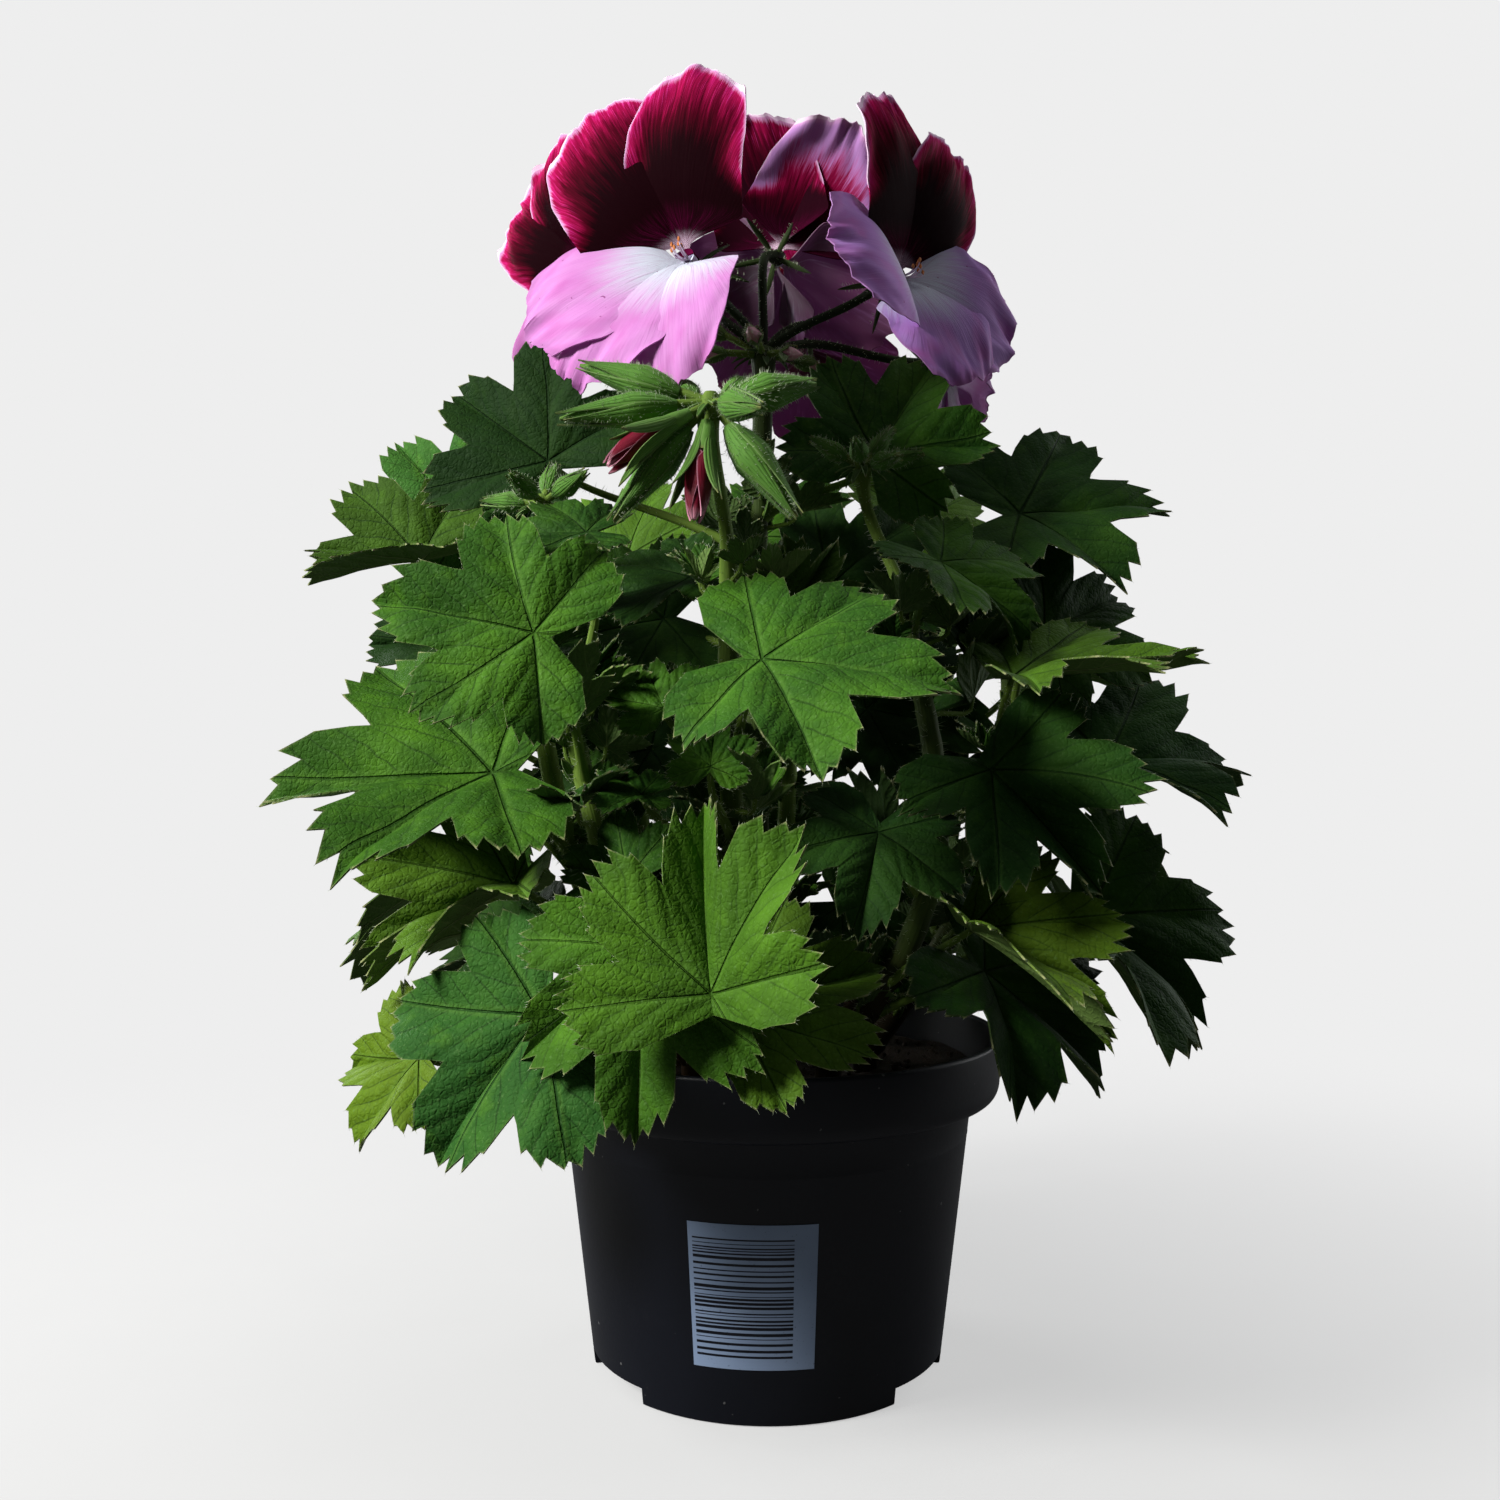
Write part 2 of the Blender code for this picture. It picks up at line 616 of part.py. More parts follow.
def throat_half(frame, side):
    """Make the half of a flower's throat that joins its upper (side 1) or its lower petals (side -1)."""
    vertices = []
    for height in (FIT_GAP, FIT_GAP + THROAT_DEPTH):
        centre = frame.throat + frame.out * height + frame.up * side * FIT_GAP / 2
        for corner in range(THROAT_CORNERS):
            turn = math.pi * corner / (THROAT_CORNERS - 1)
            spoke = frame.left * math.cos(turn) + frame.up * side * math.sin(turn)
            vertices.append(centre + spoke * THROAT_RADIUS)
    return prism_object("throat", vertices)


def upper_petals(flower):
    """Return the pieces of a flower's two dark upper petals."""
    frame = FlowerFrame(flower)
    pieces = [throat_half(frame, 1)]
    for angle in UPPER_ANGLES:
        pieces.append(petal(frame, angle, flower.length, UPPER_WIDTH * flower.length))
    return pieces


def lower_petals(flower):
    """Return the pieces of a flower's three pale lower petals."""
    frame = FlowerFrame(flower)
    pieces = [throat_half(frame, -1)]
    for angle in flower.lower:
        pieces.append(petal(frame, angle, LOWER_SHARE * flower.length, LOWER_WIDTH * flower.length))
    return pieces


def sepal(base, pointing, across):
    """Make one narrow, pointed sepal."""
    half = across * SEPAL_WIDTH / 2
    middle = base + pointing * SEPAL_LENGTH * SEPAL_WIDEST
    points = [base, middle + half, base + pointing * SEPAL_LENGTH, middle - half]
    return sheet("sepal", points, [(0, 1, 3), (3, 1, 2)], LEAF_THICKNESS)


def calyx(flower, hub):
    """Return a flower's stalk from the hub, its tube and its five sepals."""
    frame = FlowerFrame(flower)
    base = frame.throat - frame.out * CALYX_LENGTH
    leaving = ((base - hub).normalized() + Vector((0, 0, HEAD_STALK_BOW))).normalized()
    bow = (base - hub).length * HEAD_STALK_BOW
    stalk = bezier(hub, hub + leaving * bow, base - frame.out * bow, base, HEAD_STALK_RINGS)
    points = stalk + [frame.throat - frame.out * CALYX_LENGTH / 2, frame.throat]
    radii = [FLOWER_STALK_RADIUS] * len(stalk) + [CALYX_RADIUS_MIDDLE, CALYX_RADIUS_TOP]
    pieces = [tube("flower stalk", points, radii, FLOWER_STALK_SIDES)]
    back = math.radians(SEPAL_BACK_DEG)
    for step in range(SEPAL_COUNT):
        spoke = frame.spoke(360 * (step + 0.5) / SEPAL_COUNT)
        start = frame.throat - frame.out * SEPAL_DROP + spoke * SEPAL_SEAT
        pointing = spoke * math.cos(back) - frame.out * math.sin(back)
        pieces.append(sepal(start, pointing, frame.out.cross(spoke)))
    return pieces


def bud_body(hub, bud):
    """Make a bud on its stalk: a narrow stalk, a full body and a long pointed tip that sags."""
    pointing = direction(*bud.pointing)
    places = [(0.0, 0.0, BUD_STALK_RADIUS), (1.0, 0.0, BUD_STALK_RADIUS)]
    places += [(1.0, share, width * bud.width / 2) for share, width in BUD_PROFILE]
    places.append((1.0, 1.0, BUD_TIP_RADIUS))
    points = []
    for stalk_share, body_share, _ in places:
        sag = BUD_SAG * bud.length * ((stalk_share + body_share) / 2) ** 2
        place = bud.stalk * stalk_share + bud.length * body_share
        points.append(hub + pointing * place - Vector((0, 0, sag)))
    return tube("bud", points, [radius for _, _, radius in places], BUD_SIDES)


def opening_cup(hub, bud):
    """Make the green part of an opening bud: its stalk and a cup with a flat end."""
    pointing = direction(*bud.pointing)
    places = [0.0, bud.stalk] + [bud.stalk + bud.length * share for share, _ in CUP_PROFILE]
    radii = [BUD_STALK_RADIUS] * 2 + [bud.width * width for _, width in CUP_PROFILE]
    return tube("opening bud", [hub + pointing * place for place in places], radii, CUP_SIDES)


def rolled_petals(hub, bud):
    """Make the rolled petals that show in an opening bud, one body that stands on the cup's flat end."""
    pointing = direction(*bud.pointing)
    start = bud.stalk + bud.length + FIT_GAP
    points = []
    for share, _ in ROLLED_PROFILE:
        sag = Vector((0, 0, ROLLED_SAG * share ** 2))
        points.append(hub + pointing * (start + ROLLED_PETAL_LENGTH * share) - sag)
    return tube("rolled petals", points, [bud.width * width for _, width in ROLLED_PROFILE], ROLLED_SIDES)


def head_stalk(hub, stem_name, radius):
    """Make the stalk of a head, from just above its stem's top to its hub."""
    top = stem_curve(STEMS[stem_name])
    upwards = (top[-1] - top[-2]).normalized()
    foot = top[-1] + upwards * FIT_GAP
    rise = foot + upwards * STEM_RADIUS_TOP
    bow = (hub - foot).length * HEAD_STALK_BOW
    points = [foot] + bezier(rise, rise + upwards * bow, hub - Vector((0, 0, bow)), hub, HEAD_STALK_RINGS)
    points.append(hub + Vector((0, 0, HUB_TIP_HEIGHT)))
    radii = [STEM_RADIUS_TOP] * 2 + [radius] * (HEAD_STALK_RINGS - 2)
    radii += [radius + HUB_SWELLING, HUB_TIP_RADIUS]
    return tube("head stalk", points, radii, STEM_SIDES)


def flower_head():
    """Return the pieces of the green part of the open flower head."""
    hub = Vector(HUB)
    pieces = [head_stalk(hub, "middle", HEAD_STALK_RADIUS)]
    for flower in FLOWERS.values():
        pieces += calyx(flower, hub)
    for bud in HUB_BUDS:
        pieces.append(bud_body(hub, bud))
    return pieces


def bud_head(head):
    """Return the pieces of a head of buds."""
    hub = Vector(head.hub)
    pieces = [head_stalk(hub, head.stem, BUD_HEAD_STALK_RADIUS)]
    for bud in head.opening:
        pieces.append(opening_cup(hub, bud))
    for bud in head.buds:
        pieces.append(bud_body(hub, bud))
    return pieces


def turned(name, profile, segments):
    """Make a closed solid of revolution about the pot's axis from (radius, height) points."""
    vertices = []
    rows = []
    for radius, height in profile:
        rows.append([])
        turns = segments if radius else 1
        for step in range(turns):
            angle = math.tau * step / segments
            rows[-1].append(len(vertices))
            vertices.append(Vector((radius * math.cos(angle), radius * math.sin(angle), height)))
    faces = []
    for low, high in zip(rows, rows[1:]):
        for step in range(segments):
            after = (step + 1) % segments
            if len(low) == 1:
                faces.append((low[0], high[step], high[after]))
            elif len(high) == 1:
                faces.append((low[step], low[after], high[0]))
            else:
                faces.append((low[step], low[after], high[after], high[step]))
    return mesh_object(name, vertices, faces)


def combine(name, target, pieces, operation):
    """Join pieces to a target, or cut them from it, by one Boolean; apply it and remove the pieces."""
    group = bpy.data.collections.new(name + " pieces")
    for piece in pieces:
        group.objects.link(piece)
    boolean = target.modifiers.new("join", "BOOLEAN")
    boolean.operation = operation
    boolean.operand_type = "COLLECTION"
    boolean.collection = group
    boolean.solver = "EXACT"
    bpy.context.view_layer.update()
    graph = bpy.context.evaluated_depsgraph_get()
    mesh = bpy.data.meshes.new_from_object(target.evaluated_get(graph))
    target.modifiers.clear()
    target.data = mesh
    target.name = name
    mesh.name = name
    for piece in pieces:
        bpy.data.objects.remove(piece)
    bpy.data.collections.remove(group)
    return target


def joined(name, pieces):
    """Fuse overlapping pieces into one body."""
    return combine(name, pieces[0], pieces[1:], "UNION")


def finish(obj, material, smooth_deg=35):
    """Give a finished sub-part its material, and smooth shading with sharp edges kept."""
    obj.data.materials.clear()
    obj.data.materials.append(material)
    obj.data.shade_smooth()
    obj.data.set_sharp_from_angle(angle=math.radians(smooth_deg))
    return obj


def material(name, colour, roughness):
    """Make a plain material; the plant and its pot have no metal."""
    made = bpy.data.materials.new(name)
    made.use_nodes = True
    shader = made.node_tree.nodes["Principled BSDF"]
    shader.inputs["Base Color"].default_value = (*colour, 1)
    shader.inputs["Roughness"].default_value = roughness
    shader.inputs["Metallic"].default_value = 0
    return made


def arc(centre, radii, start, end, count):
    """Return count (radius, height) points along an elliptic arc from a start to an end angle in degrees."""
    points = []
    for step in range(count):
        angle = math.radians(blend(start, end, step / (count - 1)))
        points.append((centre[0] + radii[0] * math.cos(angle), centre[1] + radii[1] * math.sin(angle)))
    return points


def wall_radius(height):
    """Return the radius of the pot wall's outer face at a height."""
    return blend(WALL_FOOT_RADIUS, WALL_TOP_RADIUS, height / RIM_UNDERSIDE)


def inner_profile(gap):
    """Return the (radius, height) points of the pot's inner face up to its shoulder, moved in by a gap."""
    bend = FLOOR_TOP + FLOOR_BEND
    inside = WALL_THICKNESS + gap
    return [
        (0, FLOOR_TOP + gap),
        (wall_radius(bend) - inside - FLOOR_BEND, FLOOR_TOP + gap),
        (wall_radius(bend) - inside, bend + gap),
        (wall_radius(RIM_UNDERSIDE) - inside, RIM_UNDERSIDE + gap),
        (RIM_RADIUS - RIM_THICKNESS - SHOULDER_WIDTH - gap, RIM_UNDERSIDE + SHOULDER_HEIGHT + gap),
    ]


def pot():
    """Make the pot: a tapered wall with a rounded rim, a raised floor with drain holes, a cut-away foot."""
    profile = inner_profile(0)
    profile.append((RIM_RADIUS - RIM_THICKNESS, POT_HEIGHT - RIM_ROUND * 2))
    profile += arc((RIM_RADIUS - RIM_ROUND, POT_HEIGHT - RIM_ROUND), (RIM_ROUND, RIM_ROUND), 90, 0, 3)
    tuck = (RIM_TUCK - RIM_LEAN, RIM_FACE_FOOT - RIM_UNDERSIDE)
    profile += arc((RIM_RADIUS - RIM_TUCK, RIM_FACE_FOOT), tuck, 0, -90, 3)
    profile += [
        (wall_radius(RIM_UNDERSIDE), RIM_UNDERSIDE),
        (WALL_FOOT_RADIUS, 0),
        (WALL_FOOT_RADIUS - FOOT_WIDTH, 0),
        (WALL_FOOT_RADIUS - FOOT_WIDTH, FLOOR_UNDERSIDE),
        (0, FLOOR_UNDERSIDE),
    ]
    body = turned("pot", profile[::-1], POT_SEGMENTS)
    cutters = []
    for step in range(FOOT_COUNT):
        cutters.append(foot_gap(FIRST_GAP_DEG + 360 * step / FOOT_COUNT))
    for step in range(DRAIN_COUNT):
        outline = circle(on_circle(DRAIN_CIRCLE, 360 * step / DRAIN_COUNT), DRAIN_RADIUS, HOLE_SIDES)
        cutters.append(prism("drain", outline, FLOOR_UNDERSIDE - CUT_PAST, FLOOR_TOP + CUT_PAST))
    return combine("pot", body, cutters, "DIFFERENCE")


def foot_gap(middle):
    """Make the cutter of one gap in the pot's foot."""
    half = FOOT_GAP_DEG / 2
    outline = [
        on_circle(GAP_INNER_RADIUS, middle - half),
        on_circle(GAP_OUTER_RADIUS, middle - half),
        on_circle(GAP_OUTER_RADIUS, middle + half),
        on_circle(GAP_INNER_RADIUS, middle + half),
    ]
    return prism("foot gap", outline, -CUT_PAST, GAP_DEPTH)


def on_circle(radius, angle):
    """Return the point of a circle about the origin at an angle in degrees."""
    return radius * math.cos(math.radians(angle)), radius * math.sin(math.radians(angle))


def circle(centre, radius, corners):
    """Return the corners of a round outline."""
    outline = []
    for step in range(corners):
        x, y = on_circle(radius, 360 * step / corners)
        outline.append((centre[0] + x, centre[1] + y))
    return outline


def prism(name, outline, low, high):
    """Make an upright prism from an outline."""
    return prism_object(name, [Vector((x, y, height)) for height in (low, high) for x, y in outline])


def prism_object(name, vertices):
    """Make a prism from the corners of its one end and then those of its other."""
    count = len(vertices) // 2
    faces = [tuple(range(count)), tuple(range(count, count * 2))]
    for corner in range(count):
        after = (corner + 1) % count
        faces.append((corner, after, count + after, count + corner))
    return mesh_object(name, vertices, faces)


def soil():
    """Make the potting soil, which fills the pot, with a crumbled top and a hole for each stem."""
    profile = inner_profile(FIT_GAP)
    edge = profile[-1][0]
    profile += [(radius, SOIL_LEVEL) for radius in (edge, *SOIL_RINGS, 0)]
    body = turned("soil", profile, SOIL_SEGMENTS)
    dice = random.Random(SOIL_SEED)
    for vertex in body.data.vertices:
        crumb = dice.uniform(-SOIL_CRUMB, SOIL_CRUMB)
        inside = vertex.co.xy.length < (edge - CUT_PAST) * MM
        if inside and vertex.co.z > (SOIL_LEVEL - FIT_GAP) * MM:
            vertex.co.z += crumb * MM
    holes = []
    for stem in STEMS.values():
        outline = circle(stem.hole, STEM_RADIUS_FOOT + FIT_GAP * 2, HOLE_SIDES)
        bottom = SOIL_LEVEL - STEM_DEPTH - FIT_GAP
        holes.append(prism("hole", outline, bottom, SOIL_LEVEL + SOIL_CRUMB + CUT_PAST))
    return combine("soil", body, holes, "DIFFERENCE")


def leafy_stem(name):
    """Return the pieces of one stem with its leaf stalks and blades."""
    points = stem_curve(STEMS[name])
    last = len(points) - 1
    radii = [blend(STEM_RADIUS_FOOT, STEM_RADIUS_TOP, index / last) for index in range(last + 1)]
    pieces = [tube("stem", points, radii, STEM_SIDES)]
    for leaf in LEAVES:
        if leaf.stem != name:
            continue
        curve = leaf_stalk_curve(leaf)
        last = len(curve) - 1
        radii = [blend(STALK_RADIUS_FOOT, STALK_RADIUS_LEAF, index / last) for index in range(last + 1)]
        pieces.append(tube("stalk", curve, radii, STALK_SIDES))
        pieces.append(leaf_blade(leaf))
    return pieces


def build():
    """Build every sub-part."""
    for obj in list(bpy.data.objects):
        bpy.data.objects.remove(obj)
    plastic = material("dark plastic", (0.012, 0.014, 0.024), 0.42)
    earth = material("potting soil", (0.035, 0.022, 0.014), 0.95)
    green = material("leaf green", (0.07, 0.22, 0.035), 0.55)
    hairy_green = material("bud green", (0.10, 0.22, 0.06), 0.6)
    crimson = material("crimson petal", (0.17, 0.004, 0.05), 0.5)
    mauve = material("mauve petal", (0.68, 0.33, 0.62), 0.5)

    finish(pot(), plastic)
    finish(soil(), earth, SOIL_SHARP_DEG)
    for name in STEMS:
        finish(joined("leafy_stem_" + name, leafy_stem(name)), green)
    finish(joined("flower_head_stalks", flower_head()), hairy_green)
    for name, flower in FLOWERS.items():
        finish(joined("upper_petals_" + name, upper_petals(flower)), crimson)
        finish(joined("lower_petals_" + name, lower_petals(flower)), mauve)
    for name, head in BUD_HEADS.items():
        finish(joined("bud_head_" + name, bud_head(head)), hairy_green)
        for number, bud in enumerate(head.opening, 1):
            rolled = rolled_petals(Vector(head.hub), bud)
            rolled.name = f"bud_petals_{name}_{number}"
            finish(rolled, crimson)


if __name__ == "__main__":
    build()
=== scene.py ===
"""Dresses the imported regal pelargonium: fine leaves, blooms, buds, soil and pot, built on the fixed frame.

Blender works in metres. The tables and the named sizes are in millimetres and degrees, on the frame's own
axes: +Z up, -Y to the front, azimuths from +X towards +Y. The stems, leaves, flowers and buds stand where the
frame has them, on the same curved surfaces, with finer edges, veins, hairs and markings.
"""

import math
import random
from dataclasses import dataclass

import bpy
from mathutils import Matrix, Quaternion, Vector, noise

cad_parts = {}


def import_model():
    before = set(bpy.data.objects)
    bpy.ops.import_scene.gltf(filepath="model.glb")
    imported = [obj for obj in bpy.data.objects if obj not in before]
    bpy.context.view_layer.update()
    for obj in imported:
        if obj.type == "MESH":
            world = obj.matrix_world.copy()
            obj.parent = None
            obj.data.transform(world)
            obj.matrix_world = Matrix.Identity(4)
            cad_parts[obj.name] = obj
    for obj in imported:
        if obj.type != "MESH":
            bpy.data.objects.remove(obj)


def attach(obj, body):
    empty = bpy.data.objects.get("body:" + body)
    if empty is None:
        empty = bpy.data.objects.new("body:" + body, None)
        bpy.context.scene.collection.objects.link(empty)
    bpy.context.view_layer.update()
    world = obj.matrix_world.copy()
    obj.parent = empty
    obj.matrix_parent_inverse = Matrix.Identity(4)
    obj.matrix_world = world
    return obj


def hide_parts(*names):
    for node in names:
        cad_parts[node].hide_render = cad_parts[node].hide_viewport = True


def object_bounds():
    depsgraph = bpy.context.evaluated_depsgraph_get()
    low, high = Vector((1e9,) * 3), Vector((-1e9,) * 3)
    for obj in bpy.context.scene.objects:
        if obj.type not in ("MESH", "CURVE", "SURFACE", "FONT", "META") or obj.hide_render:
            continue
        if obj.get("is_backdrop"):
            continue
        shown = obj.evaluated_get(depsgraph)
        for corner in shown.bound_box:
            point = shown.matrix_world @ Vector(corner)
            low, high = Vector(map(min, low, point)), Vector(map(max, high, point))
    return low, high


MM = 0.001
UP = Vector((0, 0, 1))

# The camera, level with the middle of the bush.
CAMERA_PLACE = (-4.8, -412.0, 168.0)
CAMERA_LENS = 35.2
CAMERA_SENSOR = 36.0
CAMERA_NEAREST = 10.0

# The floor and the backdrop, and each soft lamp's name, place, size, watts and colour.
BACKDROP_GREY = 0.855
SKY_COLOUR = (0.95, 0.98, 1.0)
SKY_STRENGTH = 0.04
FLOOR_RADIUS = 3000.0
FLOOR_CORNERS = 96
FLOOR_DROP = 0.2
FLOOR_GREYS = ((0.50, 0.50, 0.50), (0.53, 0.53, 0.53))
FLOOR_ROUGHNESS = 0.9
FLOOR_SHINE = 0.1
FLOOR_FADE = (60.0, 520.0)
FLOOR_NEAR_SHARE = 0.62
FLOOR_BOUNCE_SHARE = 0.85
LAMP_AIM = (0, 0, 180)
LAMPS = (
    ("window", (-780, -440, 700), 260, 19.0, (1.0, 0.99, 0.96)),
    ("window edge", (-640, 520, 420), 420, 5.0, (0.98, 0.99, 1.0)),
    ("overhead", (120, -60, 1150), 700, 2.0, (1.0, 1.0, 1.0)),
    ("far side fill", (640, 420, 420), 640, 3.8, (0.96, 0.98, 1.0)),
)

# The pot, as in the frame, with its rounded edges and a printed panel.
RIM_RADIUS = 65.0
POT_HEIGHT = 90.0
RIM_THICKNESS = 2.1
RIM_ROUND = 1.0
RIM_LEAN = 0.6
RIM_TUCK = 3.4
RIM_FACE_FOOT = 78.0
RIM_UNDERSIDE = 73.5
SHOULDER_WIDTH = 1.5
SHOULDER_HEIGHT = 4.0
WALL_TOP_RADIUS = 56.8
WALL_FOOT_RADIUS = 48.2
WALL_THICKNESS = 1.3
FLOOR_UNDERSIDE = 4.0
FLOOR_TOP = 5.6
FLOOR_BEND = 2.0
FOOT_WIDTH = 3.2
FOOT_ROUND = 0.5
POT_SEGMENTS = 144
FOOT_COUNT = 3
FOOT_GAP_DEG = 36.0
FIRST_GAP_DEG = -30.0
GAP_DEPTH = 4.4
GAP_INNER_RADIUS = 40.0
GAP_OUTER_RADIUS = 60.0
DRAIN_COUNT = 6
DRAIN_RADIUS = 3.6
DRAIN_CIRCLE = 27.0
DRAIN_SIDES = 24
CUT_PAST = 2.0
MOULD_LINE = 63.5
MOULD_LINE_OUTLINE = ((0.5, 0.0), (0.15, 0.07), (-0.15, 0.07), (-0.5, 0.0))
SHARP_EDGE_DEG = 50.0
POT_SHARP_EDGE_DEG = 40.0

PANEL_MIDDLE_DEG = -94.6
PANEL_HALF_DEG = 17.4
PANEL_BOTTOM = 14.8
PANEL_TOP = 52.0
PANEL_PROUD = 0.12
PANEL_COLUMNS = 24
BAR_LEFT = 0.035
BAR_RIGHT = 0.82
BAR_MARGIN = 3.0
BAR_WIDTHS = (0.26, 1.05)
DARK_BAR_SHARE = 0.8
BAR_SEED = 5

# The potting soil.
FIT_GAP = 0.3
SOIL_LEVEL = 79.0
SOIL_RINGS = 22
SOIL_SPOKES = 72
SOIL_LUMPS = ((0.09, 3.0, 1.8), (0.42, 9.0, 1.35))
CRUMB_COUNT = 420
CRUMB_SIZES = (0.7, 2.4)
CRUMB_MARGIN = 3.0
CRUMB_CORNERS = 6
CRUMB_OUTLINE = ((-0.45, 0.5), (0.0, 1.0), (0.4, 0.6))

# The stems and the leaf stalks.
STEM_DEPTH = 24.0
STEM_RADIUS_FOOT = 3.5
STEM_RADIUS_TOP = 2.3
STEM_COLLAR = 4.0
STEM_RINGS = 6
STEM_FINE_RINGS = 40
STEM_SIDES = 14
STEM_BARE_RINGS = 6
STEM_BARK_HEIGHTS = (85.0, 150.0)
# Painted shade on the stems of the bush's shaded right side, its middle and its front.
STEM_PAINTED_SHADE = {"front_right": 0.6, "right": 0.6, "middle": 0.6, "front": 0.3}
KNOT_SWELLING = 0.07
KNOT_RATE = 0.42
KNOT_SHARPNESS = 8
STALK_RADIUS_FOOT = 1.5
STALK_RADIUS_LEAF = 0.8
STALK_SIDES = 9
STALK_RINGS = 16
STALK_SLOPE = 0.45
STALK_LOWEST = 13.0
STALK_STEP = 6.0
STALK_BOW = 0.33
STALK_LEAVE_RISE = 0.5
STALK_ARRIVE_DEG = 66.0
STALK_SWELLING = 0.35
STALK_SWELLING_REACH = 0.10
STIPULE_LENGTH = 8.0
STIPULE_WIDTH = 2.7
STIPULE_SHARES = (0.7, 1.1)
STIPULE_CURLS = (-10, 40)

# The leaves. Sheets and young leaves are in millimetres, the rest are shares of the midrib and degrees.
BLADE_THICKNESS = 0.45
LEAFLET_THICKNESS = 0.315
LEAFLET_HOLLOW = 0.45
LOBE_VEINS_DEG = (-112.0, -56.0, 0.0, 56.0, 112.0)
LOBE_LENGTHS = (0.70, 0.90, 1.0, 0.90, 0.70)
LOBE_VARIATION = 0.07
LOBE_ROUNDNESS = 2.7
LOBE_DEPTH = 0.41
LEAF_EDGE_DEG = 150.0
NOTCH_RADIUS = 0.10
TOOTH_DEPTH = 0.045
BIG_TEETH = ((0.0, 0.0), (0.34, 1.0), (0.60, 0.0), (1.0, 0.0))
FINE_TEETH_HALF = 8
FINE_TOOTH_DEPTHS = (0.045, 0.110)
FINE_TOOTH_REACH = (-0.012, 0.028)
FINE_TOOTH_LEAN = 0.45
BLADE_RINGS = (0.08, 0.17, 0.26, 0.35, 0.44, 0.53, 0.62, 0.70, 0.78, 0.85, 0.91, 0.96, 1.0)
PLEAT_HEIGHT = 0.120
LOBE_PUFF = 0.13
VEIN_BEND_DEG = 9.0
LOBE_LIFT = 0.09
LOBE_CURL_DEG = -14.0
MARGIN_WAVE = 0.055
MARGIN_WAVES = 5
CRINKLE = 0.055
CRINKLE_RATE = 3.5
TEETH_FROM = 0.72
MARGIN_HAIRS_AT = (0.0, 0.5)
SHADE_LUCK = 0.12
HUE_LUCK = 0.15
YOUNG_LENGTHS = (9.0, 16.0)
YOUNG_STALK_SHARES = (0.5, 1.1)
YOUNG_STALK_RADII = (0.8, 0.5)
YOUNG_STALK_RINGS = 6
YOUNG_STALK_SIDES = 7
YOUNG_TEETH_HALF = 4
YOUNG_RINGS = (0.25, 0.5, 0.72, 0.88, 1.0)
YOUNG_AT_TOP = 4
YOUNG_ON_STEM = 5
YOUNG_LOWEST = 102.0
YOUNG_FOLDS = (30, 62)
YOUNG_DROOPS = (-30, 20)
YOUNG_SPREAD = 0.8
YOUNG_SHADES = (-0.5, 0.1)
YOUNG_HUES = (-0.3, 0.4)
STEM_LEAF_LENGTHS = (13.0, 24.0)
# Painted shade that darkens the young leaves along the stems, inside the bush.
PAINTED_SHADE_ON_STEM_LEAVES = 0.4

# The petals.
PETAL_SHEET = 0.3
PETAL_ROWS = 34
PETAL_COLUMNS = 32
UPPER_PETALS = ((24.0, 1.0, 0.78), (-24.0, 1.0, 0.78))
LOWER_WIDTH = 0.73
LOWER_SHARE = 0.94
CLAW_WIDTH = 1.5
CLAW_OFFSET = 1.15
CLAW_REACH = 0.6
CLAW_HEIGHT = 1.6
CLAW_END = 0.03
LOWER_FORWARD = 0.8
FULL_WIDTH_FROM = 0.22
TIP_ROUND = 0.14
TIP_NARROWING = 0.25
TIP_FROM = 0.6
PETAL_LIFT_DEG = 48.0
PETAL_REFLEX_DEG = -18.0
PETAL_CURVE_STEPS = 12
PETAL_CUP = 0.12
PETAL_TWIST = 0.14
RUFFLE_HEIGHT = 1.6
RUFFLE_WAVES = 4.2
FRILL_HEIGHT = 3.2
FRILL_WAVES = 1.9
FINE_FRILL_HEIGHT = 1.12
FINE_FRILL_WAVES = 2.6
MARGIN_DENT = 0.045
MARGIN_DENTS = 3.5
FINE_DENTS = 11.0
THROAT_RADIUS = 2.2
THROAT_DEPTH = 2.4
THROAT_CORNERS = 12
STAMEN_COUNT = 7
STAMEN_LENGTH = 9.0
STAMEN_RINGS = 8
FILAMENT_RADII = (0.22, 0.136)
FILAMENT_SIDES = 5
ANTHER_SIDES = 6
ANTHER_HALF = 0.7
ANTHER_RADII = (0.2, 0.45, 0.2)

# The calyx behind each flower, and the heads' stalks.
FLOWER_STALK_RADIUS = 1.25
FLOWER_STALK_RINGS = 12
FLOWER_STALK_SIDES = 10
CALYX_LENGTH = 11.0
CALYX_RINGS = 5
CALYX_RADIUS_MIDDLE = 1.7
CALYX_RADIUS_TOP = 2.4
SEPAL_COUNT = 5
SEPAL_LENGTH = 13.0
SEPAL_WIDTH = 1.43
SEPAL_HAIRS = 22
SEPAL_CURLS = (-25, 10)
SEPAL_DROP = 3.2
SEPAL_SEAT = 1.2
SEPAL_BACK_DEG = 28.0
HEAD_STALK_RADIUS = 2.8
BUD_HEAD_STALK_RADIUS = 1.6
HUB_SWELLING = 0.8
HUB_TIP_RADIUS = 1.4
HUB_TIP_HEIGHT = 2.5
HEAD_STALK_BOW = 0.4
HEAD_STALK_RINGS = 16
BRACT_LENGTH = 8.0
BRACT_WIDTH = 1.65
BRACT_COUNT = 9
BRACT_SHARES = (0.7, 1.0)
BRACT_RISES = (-25, 5)
BRACT_CURLS = (-60, -10)

